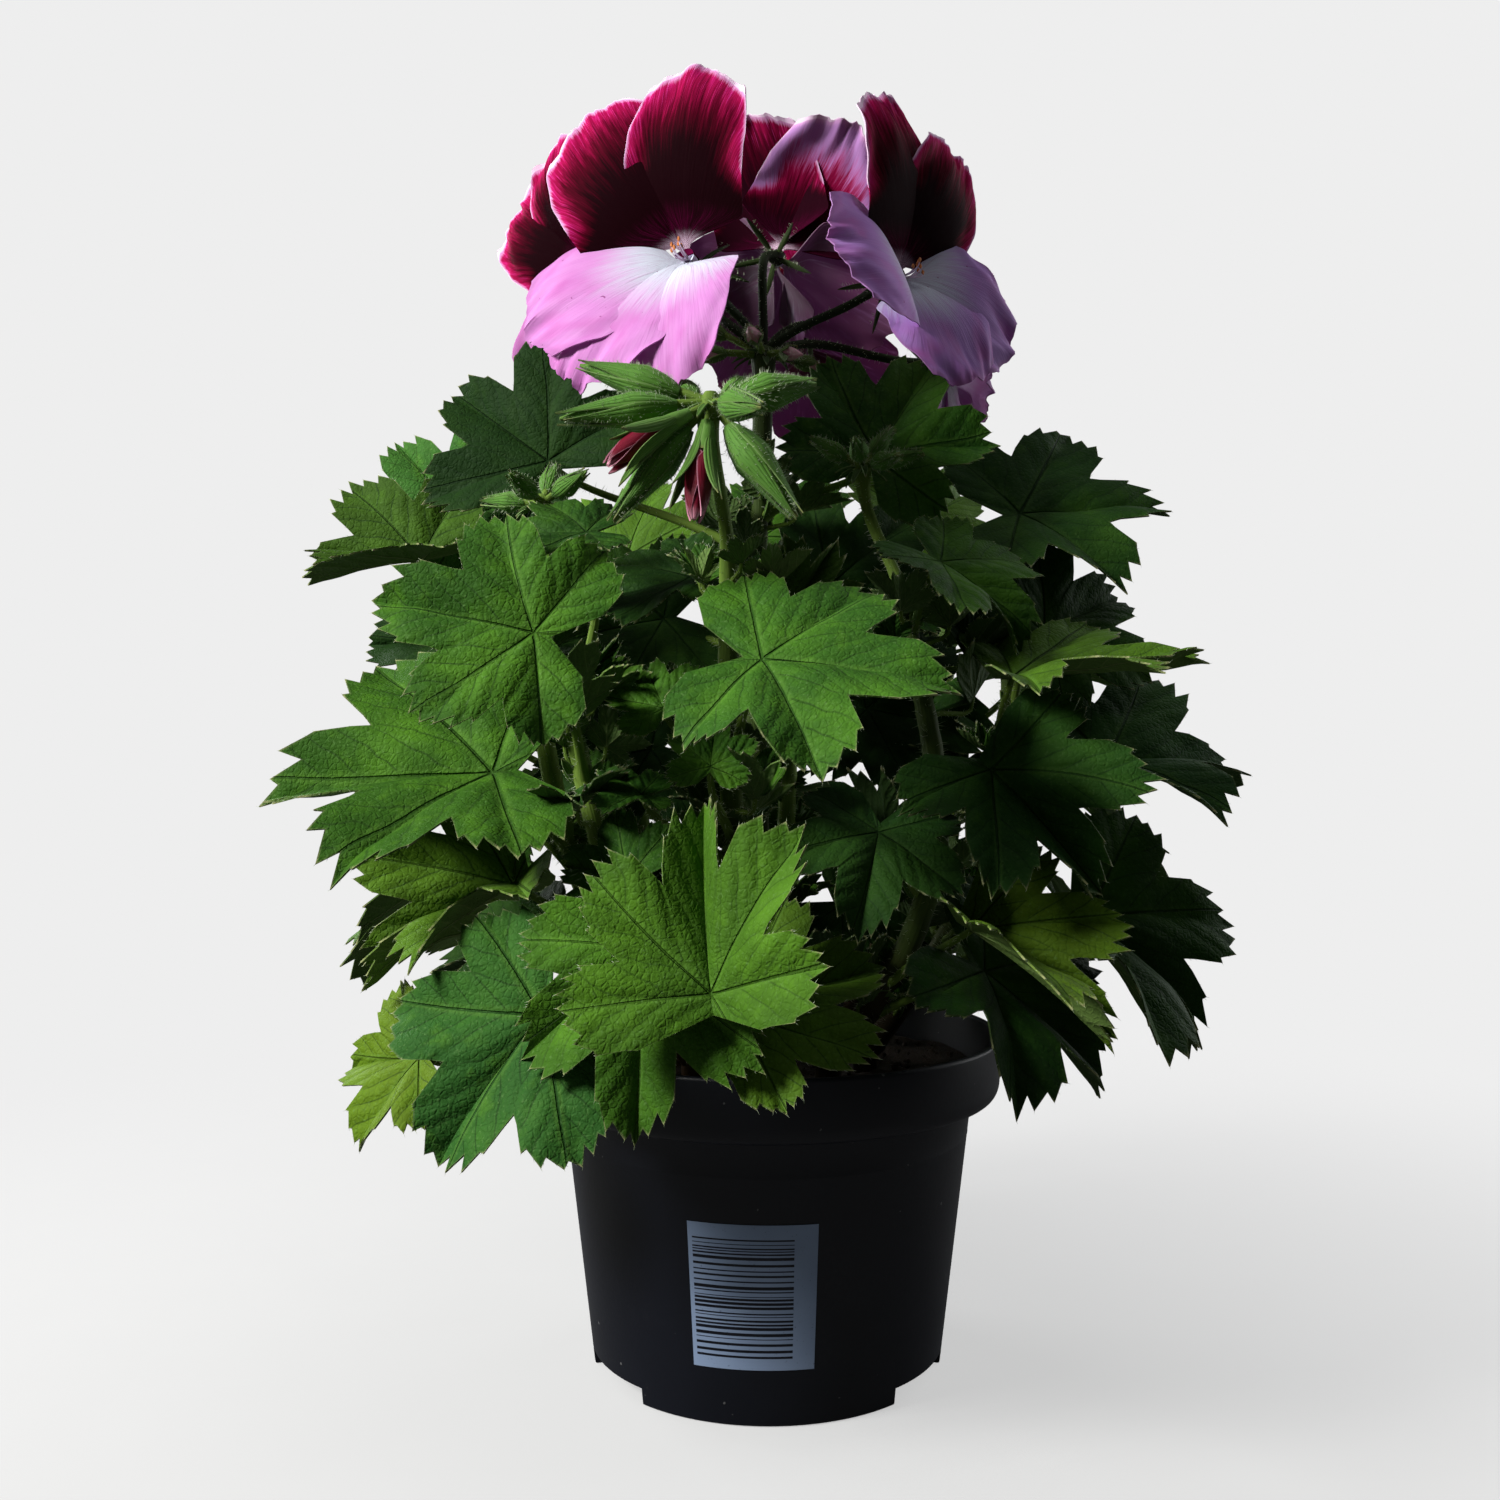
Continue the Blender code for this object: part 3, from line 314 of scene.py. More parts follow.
# The buds.
BUD_STALK_RADIUS = 1.0
BUD_STALK_RINGS = 6
BUD_STALK_SIDES = 9
BUD_PROFILE = ((0.0, 0.30), (0.14, 0.72), (0.36, 1.0), (0.66, 0.62), (1.0, 0.10))
BUD_SAG = 0.10
BUD_RINGS = 14
BUD_SIDES = 15
BUD_RIDGES = 0.05
BUD_TIP_RADIUS = 0.25
BUD_HAIRS_PER_MM2 = 2.4
CUP_PROFILE = ((0.0, 0.30), (0.4, 0.42), (1.0, 0.5))
CUP_RINGS = 8
CUP_HAIRS = 110
CUP_SEPAL_LENGTH = 19.0
CUP_SEPAL_WIDTH = 3.4
CUP_SEPAL_SHARES = (0.8, 1.1)
CUP_SEPAL_LEANS = (0.08, 0.30)
CUP_SEPAL_CURLS = (-18, 6)
ROLLED_PETAL_LENGTH = 15.0
ROLLED_PETAL_COUNT = 4
ROLLED_RINGS = 10
ROLLED_SIDES = 14
ROLLED_CORE_INSET = 0.35
ROLLED_WRAP_DEG = 62.0
ROLLED_FLARES = (-0.4, 1.1)
ROLLED_PROFILE = ((0.0, 0.44), (0.3, 0.52), (0.65, 0.46), (0.9, 0.3), (1.0, 0.16))
ROLLED_SAG = 2.0
SEPAL_WRAP_DEG = 45.0
SEPAL_WRAP_SHARES = (0.92, 1.0)
SEPAL_FLARES = (0.2, 1.3)
FURLED_REACH = 0.62
CLOSED_REACH = 1.04

# The hairs on the green parts, with how far each may stray from square to the surface.
HAIR_WIDTH = 0.15
HAIR_SIDES = 3
HAIR_LENGTHS = (0.9, 2.2)
SHORT_HAIRS = (0.5, 1.2)
MARGIN_HAIRS = (0.4, 1.1)
BUD_HAIRS = (0.6, 1.5)
HEAD_HAIRS = (0.7, 1.7)
HAIRS_PER_MM = 2.2
STEM_HAIRS_PER_MM = 3.08
YOUNG_HAIRS_PER_MM = 2.0
FLOWER_HAIRS_PER_MM = 3.0
BUD_STALK_HAIRS_PER_MM = 3.5
HEAD_HAIRS_PER_MM = 4.0
HAIR_STRAY = 0.35
MARGIN_HAIR_STRAY = 0.6
BUD_HAIR_STRAY = 0.4

# How brown and how dark stalks are, and how dark, how red and how velvety sepals are. The darkness is mostly
# painted shade, deepest on the flower stalks, the calyxes and the flower head's stalk and bracts, which sit
# in shade under the flowers.
FLOWER_STALK_TONE = (0, 0.93, 0)
BUD_STALK_TONE = (0, 0.1, 0)
STIPULE_TONE = (0.1, 0.1, 0)
CALYX_TONE = (0.75, 0.10, 0)
HUB_BUD_TONE = (0.2, 0.2, 0)
CLOSED_BUD_TONE = (0, 0, 1)
HEAD_PAINTED_SHADE = 0.8
BUD_HEADS_PAINTED_SHADE = 0.1


@dataclass(frozen=True)
class Stem:
    """A leafy stem: its hole in the soil, then the points that it passes through."""

    hole: tuple
    path: tuple


@dataclass(frozen=True)
class Leaf:
    """A leaf: where its stalk meets the blade, the midrib's direction and the way that its upper face looks.

    Its shade runs from -1, dark, to 1, bright, and its hue from -1, bluish, to 1, yellowish. The shade is
    partly the leaf's own tone and partly painted light and shade: its lowest values paint the shade on leaves
    deep in the bush and on its shaded right side.
    """

    stem: str
    junction: tuple
    midrib: tuple
    facing: tuple
    length: float
    fold: float = 14.0
    droop: float = 20.0
    spread: float = 1.0
    shade: float = 0.0
    hue: float = 0.0


@dataclass(frozen=True)
class Flower:
    """An open flower: its throat, the way that it looks, its turn about that axis and its petals' length.

    Then come its lower petals' angles, how pale each upper petal is, how violet the lower ones are and how
    far they darken to a deep crimson, partly their own dark red and partly painted shade, each upper petal's
    angle, and its length and width and each lower petal's length as shares.
    """

    throat: tuple
    facing: tuple
    turn: float
    length: float = 40.0
    lower: tuple = (115.0, 180.0, 245.0)
    pale: tuple = (0.0, 0.0)
    violet: float = 0.0
    dusk: float = 0.0
    upper: tuple = UPPER_PETALS
    reaches: tuple = (1.0, 1.0, 1.0)


@dataclass(frozen=True)
class Bud:
    """A closed bud: the direction that it points in from the head's hub, its stalk, body and sepal tips."""

    pointing: tuple
    stalk: float
    length: float
    width: float


@dataclass(frozen=True)
class BudHead:
    """A head of buds: its hub, the stem that carries it, its opening buds and its closed ones."""

    hub: tuple
    stem: str
    opening: tuple
    buds: tuple


STEMS = {
    "middle": Stem((0, 4), ((-2, 2, 130), (-3, -2, 190), (-2, 0, 238))),
    "front": Stem((-4, -22), ((-8, -36, 125), (-10, -46, 175), (-10, -58, 208))),
    "front_left": Stem((-20, -14), ((-36, -32, 120), (-44, -42, 150), (-50, -46, 178))),
    "left": Stem((-26, 4), ((-50, 2, 125), (-62, -2, 170), (-62, -12, 208))),
    "back_left": Stem((-16, 22), ((-34, 42, 125), (-42, 50, 165), (-42, 52, 198))),
    "back": Stem((4, 28), ((6, 56, 125), (8, 64, 175), (8, 62, 215))),
    "back_right": Stem((22, 18), ((42, 42, 125), (52, 52, 170), (54, 54, 200))),
    "right": Stem((27, -4), ((56, 0, 125), (68, 2, 165), (68, 4, 205))),
    "front_right": Stem((16, -20), ((36, -40, 120), (42, -46, 155), (36, -30, 203))),
}

# Each leaf's shade is partly its own tone and partly painted light and shade: the lowest values paint the
# shade on leaves deep in the bush and on its shaded right side.
LEAVES = (
    # Left side.
    Leaf("left", (-69, -45, 162), (-178, -2), (-90, 50), 60, 22, 12, 0.92, shade=0.3),
    Leaf("left", (-64, -44, 134), (-165, -28), (-60, 60), 45, 50, 10, 0.8, hue=0.3),
    Leaf("left", (-97, 0, 221), (180, -3), (-60, 50), 36, 45, shade=-0.5, hue=0.4),
    Leaf("left", (-87, 14, 235), (165, 45), (-100, 20), 34, shade=0.2, hue=-0.9),
    Leaf("left", (-88, 10, 200), (160, 0), (-80, 20), 32, shade=-0.8, hue=0.3),
    Leaf("left", (-93, 12, 166), (178, 0), (-150, 50), 36, shade=-0.7),
    Leaf("left", (-73, -6, 150), (-170, -75), (-80, 0), 22, 55, shade=-0.2),
    Leaf("left", (-58, -18, 120), (-175, -15), (-60, 70), 36, 14, 20, 0.75, shade=-0.7),
    Leaf("left", (-94, 22, 130), (165, -40), (170, 35), 42, shade=-0.45, hue=0.2),
    # Front left.
    Leaf("front_left", (-53, -85, 194), (180, 15), (-95, 20), 38, 6, shade=0.2, hue=0.1),
    Leaf("front_left", (-52, -80, 108), (-160, -50), (-100, 25), 41, 8, hue=-0.7),
    Leaf("front_left", (-84, -60, 94), (150, -8), (-100, 30), 28, shade=-0.1, hue=0.6),
    Leaf("front_left", (-44, -60, 220), (180, 0), (-90, 60), 24, shade=-0.55),
    # Front.
    Leaf("front", (-2, -85, 188), (-15, -5), (-90, 45), 42, 8, shade=0.1, hue=-0.3),
    Leaf("front", (-13, -100, 116), (110, 72), (-110, 10), 44, 30, 20, 0.8, shade=0.35, hue=0.25),
    Leaf("front", (-28, -88, 124), (-100, -75), (-100, 15), 41, 12, 20, 0.85, shade=0.4, hue=0.1),
    Leaf("front", (-8, -85, 109), (15, 20), (-90, 35), 38, 10, 20, 0.8, shade=-0.1, hue=0.5),
    Leaf("front", (-20, -36, 212), (-175, -14), (-60, 60), 32, 14, 20, 0.85, shade=-0.6, hue=0.1),
    Leaf("front", (-33, -70, 138), (150, 10), (-100, 30), 22),
    Leaf("front", (-26, -52, 178), (115, 45), (-90, 20), 18, shade=0.2),
    Leaf("front", (-14, -70, 164), (80, 60), (-90, 10), 15, shade=0.2),
    Leaf("front", (-31, -58, 157), (-175, 5), (-90, 70), 18),
    # Front right.
    Leaf("front_right", (48, -62, 125), (-25, -30), (-70, 50), 40, 50, 20, 0.75, shade=0.1, hue=0.5),
    Leaf("front_right", (54, -54, 163), (-40, -40), (-90, 30), 41, 30, 20, 0.8, shade=-0.6, hue=-0.4),
    Leaf("front_right", (44, -36, 216), (-20, -30), (-60, 50), 31, 14, 30, shade=-0.45, hue=0.2),
    Leaf("front_right", (53, -49, 113), (-5, -35), (-60, 50), 42, shade=-0.75, hue=-0.2),
    Leaf("front_right", (26, -60, 148), (-105, -40), (-90, 35), 30, shade=-0.75, hue=-0.4),
    # Right.
    Leaf("right", (83, -28, 124), (-8, -38), (-60, 45), 50, 30, 40, 0.85, shade=-0.6),
    Leaf("right", (90, -22, 165), (5, 4), (-70, 60), 42, 20, 34, shade=-0.5, hue=-0.5),
    Leaf("right", (61, -45, 186), (0, 5), (-90, 75), 46, 20, 10, 0.8, shade=-0.2, hue=0.3),
    Leaf("right", (76, -8, 200), (30, 25), (-60, 30), 35, shade=-0.5),
    Leaf("right", (90, 25, 155), (0, -40), (-10, 45), 42, shade=-0.4),
    Leaf("right", (46, 24, 128), (-30, -30), (-80, 10), 36, shade=-0.8),
    Leaf("right", (88, 14, 120), (15, -45), (0, 35), 43, shade=-0.4),
    # Back right.
    Leaf("back_right", (72, 6, 235), (5, 5), (-80, 45), 46, shade=-0.5, hue=-0.3),
    Leaf("back_right", (68, 68, 154), (40, -12), (50, 50), 46),
    Leaf("back_right", (62, 80, 204), (45, 20), (60, 40), 42, shade=0.2),
    Leaf("back_right", (64, 50, 115), (30, -35), (40, 40), 46, shade=-0.1, hue=-0.3),
    Leaf("back_right", (80, 52, 192), (15, 5), (30, 50), 40, hue=0.3),
    Leaf("back_right", (50, 60, 240), (50, 30), (30, 40), 42, shade=0.2, hue=0.3),
    # Back.
    Leaf("back", (4, 80, 148), (85, -20), (90, 40), 43, shade=0.2),
    Leaf("back", (22, 78, 198), (65, 10), (90, 40), 43, hue=-0.3),
    Leaf("back", (-18, 84, 112), (100, -40), (95, 35), 44, shade=0.3, hue=0.4),
    Leaf("back", (-18, 80, 176), (90, -5), (80, 40), 36),
    Leaf("back", (0, 70, 238), (95, 45), (-90, 30), 40, shade=0.1),
    # Back left.
    Leaf("back_left", (-60, 73, 146), (140, -15), (120, 50), 50, shade=0.1, hue=-0.3),
    Leaf("back_left", (-58, 80, 198), (132, 15), (110, 40), 42, shade=0.3),
    Leaf("back_left", (-70, 50, 115), (150, -35), (130, 40), 44, hue=0.4),
    Leaf("back_left", (-84, 44, 178), (165, 5), (150, 50), 36, hue=-0.2),
    Leaf("back_left", (-44, 60, 230), (135, 30), (150, 40), 38, shade=0.2, hue=0.3),
    # Middle.
    Leaf("middle", (30, -6, 249), (30, 58), (-90, 20), 38, 15, shade=-0.2, hue=-0.4),
    Leaf("middle", (-60, -10, 247), (168, 36), (-100, 15), 40, shade=-0.85),
    Leaf("middle", (19, 18, 216), (0, -10), (-80, 25), 40, shade=-0.7),
    Leaf("middle", (30, 24, 180), (-10, -10), (-85, 25), 40, shade=-0.8),
    Leaf("middle", (-30, 16, 206), (-170, -10), (-95, 25), 38, shade=-0.7),
    Leaf("middle", (-34, 22, 168), (180, -10), (-95, 25), 40, shade=-0.8),
    Leaf("middle", (21, 2, 124), (-22, -25), (-90, 25), 25, shade=-0.8),
)

FLOWERS = {
    "front_left": Flower((-20, -36, 293), (-116, 16), 14, 50, (105, 138, 172),
                         upper=((21, 1.03, 0.88), (-19, 1.0, 0.62))),
    "left": Flower((-48, 10, 306), (-140, 5), 32, 40, (112, 213, 251), dusk=0.3),
    "top": Flower((3, 14, 311), (75, 15), 8, 44, (113, 204, 248), (0.85, -0.3), 0.4, 0.8),
    "front_right": Flower((34, -14, 296), (-45, 15), -12, 49, (110, 214, 252), violet=0.9,
                          upper=((22, 1.0, 0.72), (-22, 0.97, 0.62)), reaches=(0.9, 0.80, 0.88)),
    "right": Flower((51, 32, 284), (15, -5), 0, 30, (115, 186, 245), (0.2, 0.0), 0.5, 0.3),
    "back": Flower((14, 50, 298), (90, 5), 0, 36, pale=(-0.2, 0.0), violet=0.2, dusk=1.0),
}
HUB = (-1, 0, 279)
HUB_BUDS = (
    Bud((-60, -10), 10, 11, 4.0),
    Bud((-100, 5), 12, 12, 4.4),
    Bud((-150, -5), 12, 11, 4.0),
    Bud((30, 0), 10, 11, 4.0),
    Bud((150, 30), 14, 12, 4.2),
)

BUD_HEADS = {
    "front": BudHead((-14, -70, 249), "front", (
        Bud((-105, -64), 6, 9, 5.6),
        Bud((-146, -30), 7, 9, 5.0),
    ), (
        Bud((170, 22), 8, 26, 8.0),
        Bud((-170, -4), 8, 27, 8.0),
        Bud((-160, -48), 8, 27, 8.0),
        Bud((-20, -50), 7, 26, 9.0),
        Bud((20, 18), 7, 21, 9.0),
        Bud((-60, -10), 6, 18, 7.0),
        Bud((60, 25), 8, 18, 7.0),
        Bud((120, 22), 8, 17, 7.0),
    )),
    "right": BudHead((25, -22, 243), "front_right", (), (
        Bud((-15, 15), 5, 12, 4.5),
        Bud((-60, 5), 5, 12, 4.5),
        Bud((-100, 20), 5, 12, 4.5),
        Bud((170, 35), 5, 12, 4.5),
        Bud((40, 50), 5, 13, 4.5),
    )),
    "left": BudHead((-58, -36, 231), "left", (), (
        Bud((-40, 25), 5, 13, 5.0),
        Bud((-110, 20), 5, 13, 5.0),
        Bud((160, 10), 5, 13, 5.0),
        Bud((80, 50), 5, 13, 5.0),
    )),
}


# Numbers and curves


def direction(azimuth, rise):
    """Return the unit vector that points at an azimuth and a rise in degrees."""
    azimuth = math.radians(azimuth)
    rise = math.radians(rise)
    return Vector((math.cos(azimuth) * math.cos(rise), math.sin(azimuth) * math.cos(rise), math.sin(rise)))


def blend(start, end, share):
    """Return the value a share of the way from start to end."""
    return start + (end - start) * share


def eased(value, low, high):
    """Return 0 below low, 1 above high, and a smooth rise between them."""
    share = max(0.0, min((value - low) / (high - low), 1.0))
    return share * share * (3 - 2 * share)


def profile_at(profile, share):
    """Return the value of a profile of (share, value) rows at a share, on straight lines between its rows."""
    for (low, first), (high, second) in zip(profile, profile[1:]):
        if share <= high:
            return blend(first, second, (share - low) / (high - low))
    return profile[-1][1]


def curve_through(points, count):
    """Return count points along a smooth curve through the given points (a Catmull-Rom spline)."""
    ends = [points[0] * 2 - points[1]] + list(points) + [points[-1] * 2 - points[-2]]
    spans = len(points) - 1
    curve = []
    for step in range(count):
        place = spans * step / (count - 1)
        span = min(int(place), spans - 1)
        t = place - span
        a, b, c, d = ends[span:span + 4]
        curve.append(0.5 * (2 * b + (c - a) * t + (2 * a - 5 * b + 4 * c - d) * t ** 2
                            + (3 * b - a - 3 * c + d) * t ** 3))
    return curve


def bezier(a, b, c, d, count):
    """Return count points along a cubic Bezier curve."""
    curve = []
    for step in range(count):
        t = step / (count - 1)
        s = 1 - t
        curve.append(a * s ** 3 + b * 3 * s * s * t + c * 3 * s * t * t + d * t ** 3)
    return curve


def square_to(ahead, wanted):
    """Return the unit vector nearest to wanted that is square to ahead."""
    return (wanted - ahead * wanted.dot(ahead)).normalized()


def strayed(pointing, amount, dice):
    """Return a direction that strays from another by up to an amount along each axis."""
    stray = Vector([dice.uniform(-amount, amount) for _ in range(3)])
    return (pointing + stray).normalized()


def on_circle(radius, angle):
    """Return the point of a circle about the origin at an angle in degrees."""
    return radius * math.cos(math.radians(angle)), radius * math.sin(math.radians(angle))


# Meshes


def placed(name, data):
    """Put a mesh, a lamp or a camera into the scene as an object."""
    obj = bpy.data.objects.new(name, data)
    bpy.context.scene.collection.objects.link(obj)
    return obj


class Form:
    """The points and faces of one piece, with two marks on each point that the materials read."""

    def __init__(self):
        self.points = []
        self.marks = []
        self.tones = []
        self.faces = []
        self.face_slots = []
        self.materials = []

    def add(self, place, mark=(0, 0, 0), tone=(0, 0, 0)):
        """Add a point and return its number."""
        self.points.append(place)
        self.marks.append(mark)
        self.tones.append(tone)
        return len(self.points) - 1

    def level_ring(self, radius, height, count):
        """Add a ring of points about the pot's axis at a height and return their numbers."""
        turns = [360 * step / count for step in range(count)]
        return [self.add(Vector((*on_circle(radius, turn), height))) for turn in turns]

    def face(self, corners, material):
        """Add a face in a material."""
        if material not in self.materials:
            self.materials.append(material)
        self.faces.append(tuple(corners))
        self.face_slots.append(self.materials.index(material))

    def skin(self, rings, material, order=1):
        """Join each ring to the next, where a ring may be a single point; order -1 turns the faces over."""
        for low, high in zip(rings, rings[1:]):
            count = max(len(low), len(high))
            for step in range(count):
                after = (step + 1) % count
                if len(low) == 1:
                    corners = (high[after], high[step], low[0])
                elif len(high) == 1:
                    corners = (high[0], low[step], low[after])
                else:
                    corners = (low[step], low[after], high[after], high[step])
                self.face(corners[::order], material)

    def capped(self, rings, material, order=1):
        """Add a closed solid from rings, with a cap at each end."""
        self.face(rings[0][::-order], material)
        self.face(rings[-1][::order], material)
        self.skin(rings, material, order)

    def sheet(self, points, faces, marks, tones, thickness, materials):
        """Add a thin closed sheet about a surface, with one material above and the other below."""
        normals = [Vector((0, 0, 0)) for _ in points]
        edges = set()
        for face in faces:
            normal = (points[face[2]] - points[face[0]]).cross(points[face[-1]] - points[face[1]])
            for corner, after in zip(face, face[1:] + face[:1]):
                normals[corner] += normal
                edges.add((corner, after))
        above = []
        below = []
        for point, normal, mark, tone in zip(points, normals, marks, tones):
            offset = normal.normalized() * thickness / 2
            above.append(self.add(point + offset, mark, tone))
            below.append(self.add(point - offset, mark, tone))
        for face in faces:
            self.face([above[corner] for corner in face], materials[0])
            self.face([below[corner] for corner in reversed(face)], materials[1])
        for corner, after in edges:
            if (after, corner) not in edges:
                self.face((above[after], above[corner], below[corner], below[after]), materials[0])

    def curved_sheet(self, point_at, rows, columns, tone, thickness, materials, mirrored=False):
        """Add a thin sheet through point_at(along, across), along from 0 to 1 and across from -1 to 1.

        Its points are marked with both numbers; a mirrored sheet's halves are marked alike.
        """
        points = []
        marks = []
        for row in range(rows + 1):
            along = row / rows
            for column in range(columns + 1):
                across = 2 * column / columns - 1
                points.append(point_at(along, across))
                marks.append((along, abs(across) if mirrored else across, 0))
        faces = []
        width = columns + 1
        for row in range(rows):
            for start in range(row * width, row * width + columns):
                faces.append((start, start + 1, start + width + 1, start + width))
        self.sheet(points, faces, marks, [tone] * len(marks), thickness, materials)

    def tube(self, points, radii, sides, material, tones=None, ridges=0.0):
        """Add a closed tube along points and return each ring's centre, direction, spoke and radius.

        Ridges, as a share of the radius, run along a bud's core, one under each sepal.
        """
        across = (points[1] - points[0]).orthogonal().normalized()
        last = len(points) - 1
        rings = []
        frames = []
        for index, (point, radius) in enumerate(zip(points, radii)):
            ahead = (points[min(index + 1, last)] - points[max(index - 1, 0)]).normalized()
            across = square_to(ahead, across)
            frames.append((point, ahead, across, radius))
            tone = tones[index] if tones else (0, 0, 0)
            ring = []
            for side in range(sides):
                turn = math.tau * side / sides
                ridged = radius * (1 + ridges * math.cos(SEPAL_COUNT * turn))
                spoke = Quaternion(ahead, turn) @ across
                ring.append(self.add(point + spoke * ridged, (index / last, side / sides, 0), tone))
            rings.append(ring)
        self.capped(rings, material)
        return frames

    def hair(self, place, pointing, length, material):
        """Add one hair: a fine spike whose root is a little below the surface."""
        side = pointing.orthogonal().normalized() * HAIR_WIDTH / 2
        root = place - pointing * HAIR_WIDTH
        turns = [math.tau * step / HAIR_SIDES for step in range(HAIR_SIDES)]
        corners = [self.add(root + Quaternion(pointing, turn) @ side) for turn in turns]
        tip = self.add(place + pointing * length)
        self.skin((corners, (tip,)), material)

    def hairs_on_tube(self, frames, material, dice, density=HAIRS_PER_MM, lengths=HAIR_LENGTHS):
        """Add hairs all round a tube, from the frames that tube() returned."""
        for (start, ahead, across, first), (end, _, _, second) in zip(frames, frames[1:]):
            wanted = (end - start).length * density
            count = int(wanted) + (dice.random() < wanted % 1)
            for _ in range(count):
                share = dice.random()
                spoke = Quaternion(ahead, dice.uniform(0, math.tau)) @ across
                place = blend(start, end, share) + spoke * blend(first, second, share)
                self.hair(place, strayed(spoke, HAIR_STRAY, dice), dice.uniform(*lengths), material)

    def leaflet(self, base, pointing, across, length, width, curl, material, tone=(0, 0, 0), rows=9):
        """Add a narrow pointed leaf, such as a sepal, that bends by its curl towards its upper face."""
        upper = pointing.cross(across).normalized()

        def point_at(along, sideways):
            bend = math.radians(curl) * along / 2
            centre = base + (pointing * math.cos(bend) + upper * math.sin(bend)) * length * along
            half = 1.2 * width * (along + 0.06) ** 0.6 * max(1 - along, 0.0) ** 0.8 + 0.04
            return centre + across * half * sideways + upper * half * LEAFLET_HOLLOW * abs(sideways) ** 1.5

        self.curved_sheet(point_at, rows, 4, tone, LEAFLET_THICKNESS, (material, material), True)

    def make(self, name, slot, *nodes):
        """Make the object, let it ride on the frame, and let it stand for nodes of the frame."""
        mesh = bpy.data.meshes.new(name)
        mesh.from_pydata([tuple(point * MM) for point in self.points], [], self.faces)
        for label, values in (("mark", self.marks), ("tone", self.tones)):
            layer = mesh.attributes.new(label, "FLOAT_VECTOR", "POINT")
            layer.data.foreach_set("vector", [number for value in values for number in value])
        for material in self.materials:
            mesh.materials.append(material)
        mesh.polygons.foreach_set("material_index", self.face_slots)
        mesh.shade_smooth()
        mesh.set_sharp_from_angle(angle=math.radians(SHARP_EDGE_DEG))
        obj = placed(name, mesh)
        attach(obj, "root")
        if nodes:
            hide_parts(*nodes)
        return obj


# Materials


class Value:
    """A number or colour on its way through a material's nodes; Python's operators add the Math nodes."""

    def __init__(self, paint, socket):
        self.paint = paint
        self.socket = socket

    def __add__(self, other):
        return self.paint.math("ADD", self, other)

    def __sub__(self, other):
        return self.paint.math("SUBTRACT", self, other)

    def __rsub__(self, other):
        return self.paint.math("SUBTRACT", other, self)

    def __mul__(self, other):
        return self.paint.math("MULTIPLY", self, other)

    def __truediv__(self, other):
        return self.paint.math("DIVIDE", self, other)

    def __abs__(self):
        return self.paint.math("ABSOLUTE", self)

    __radd__ = __add__
    __rmul__ = __mul__


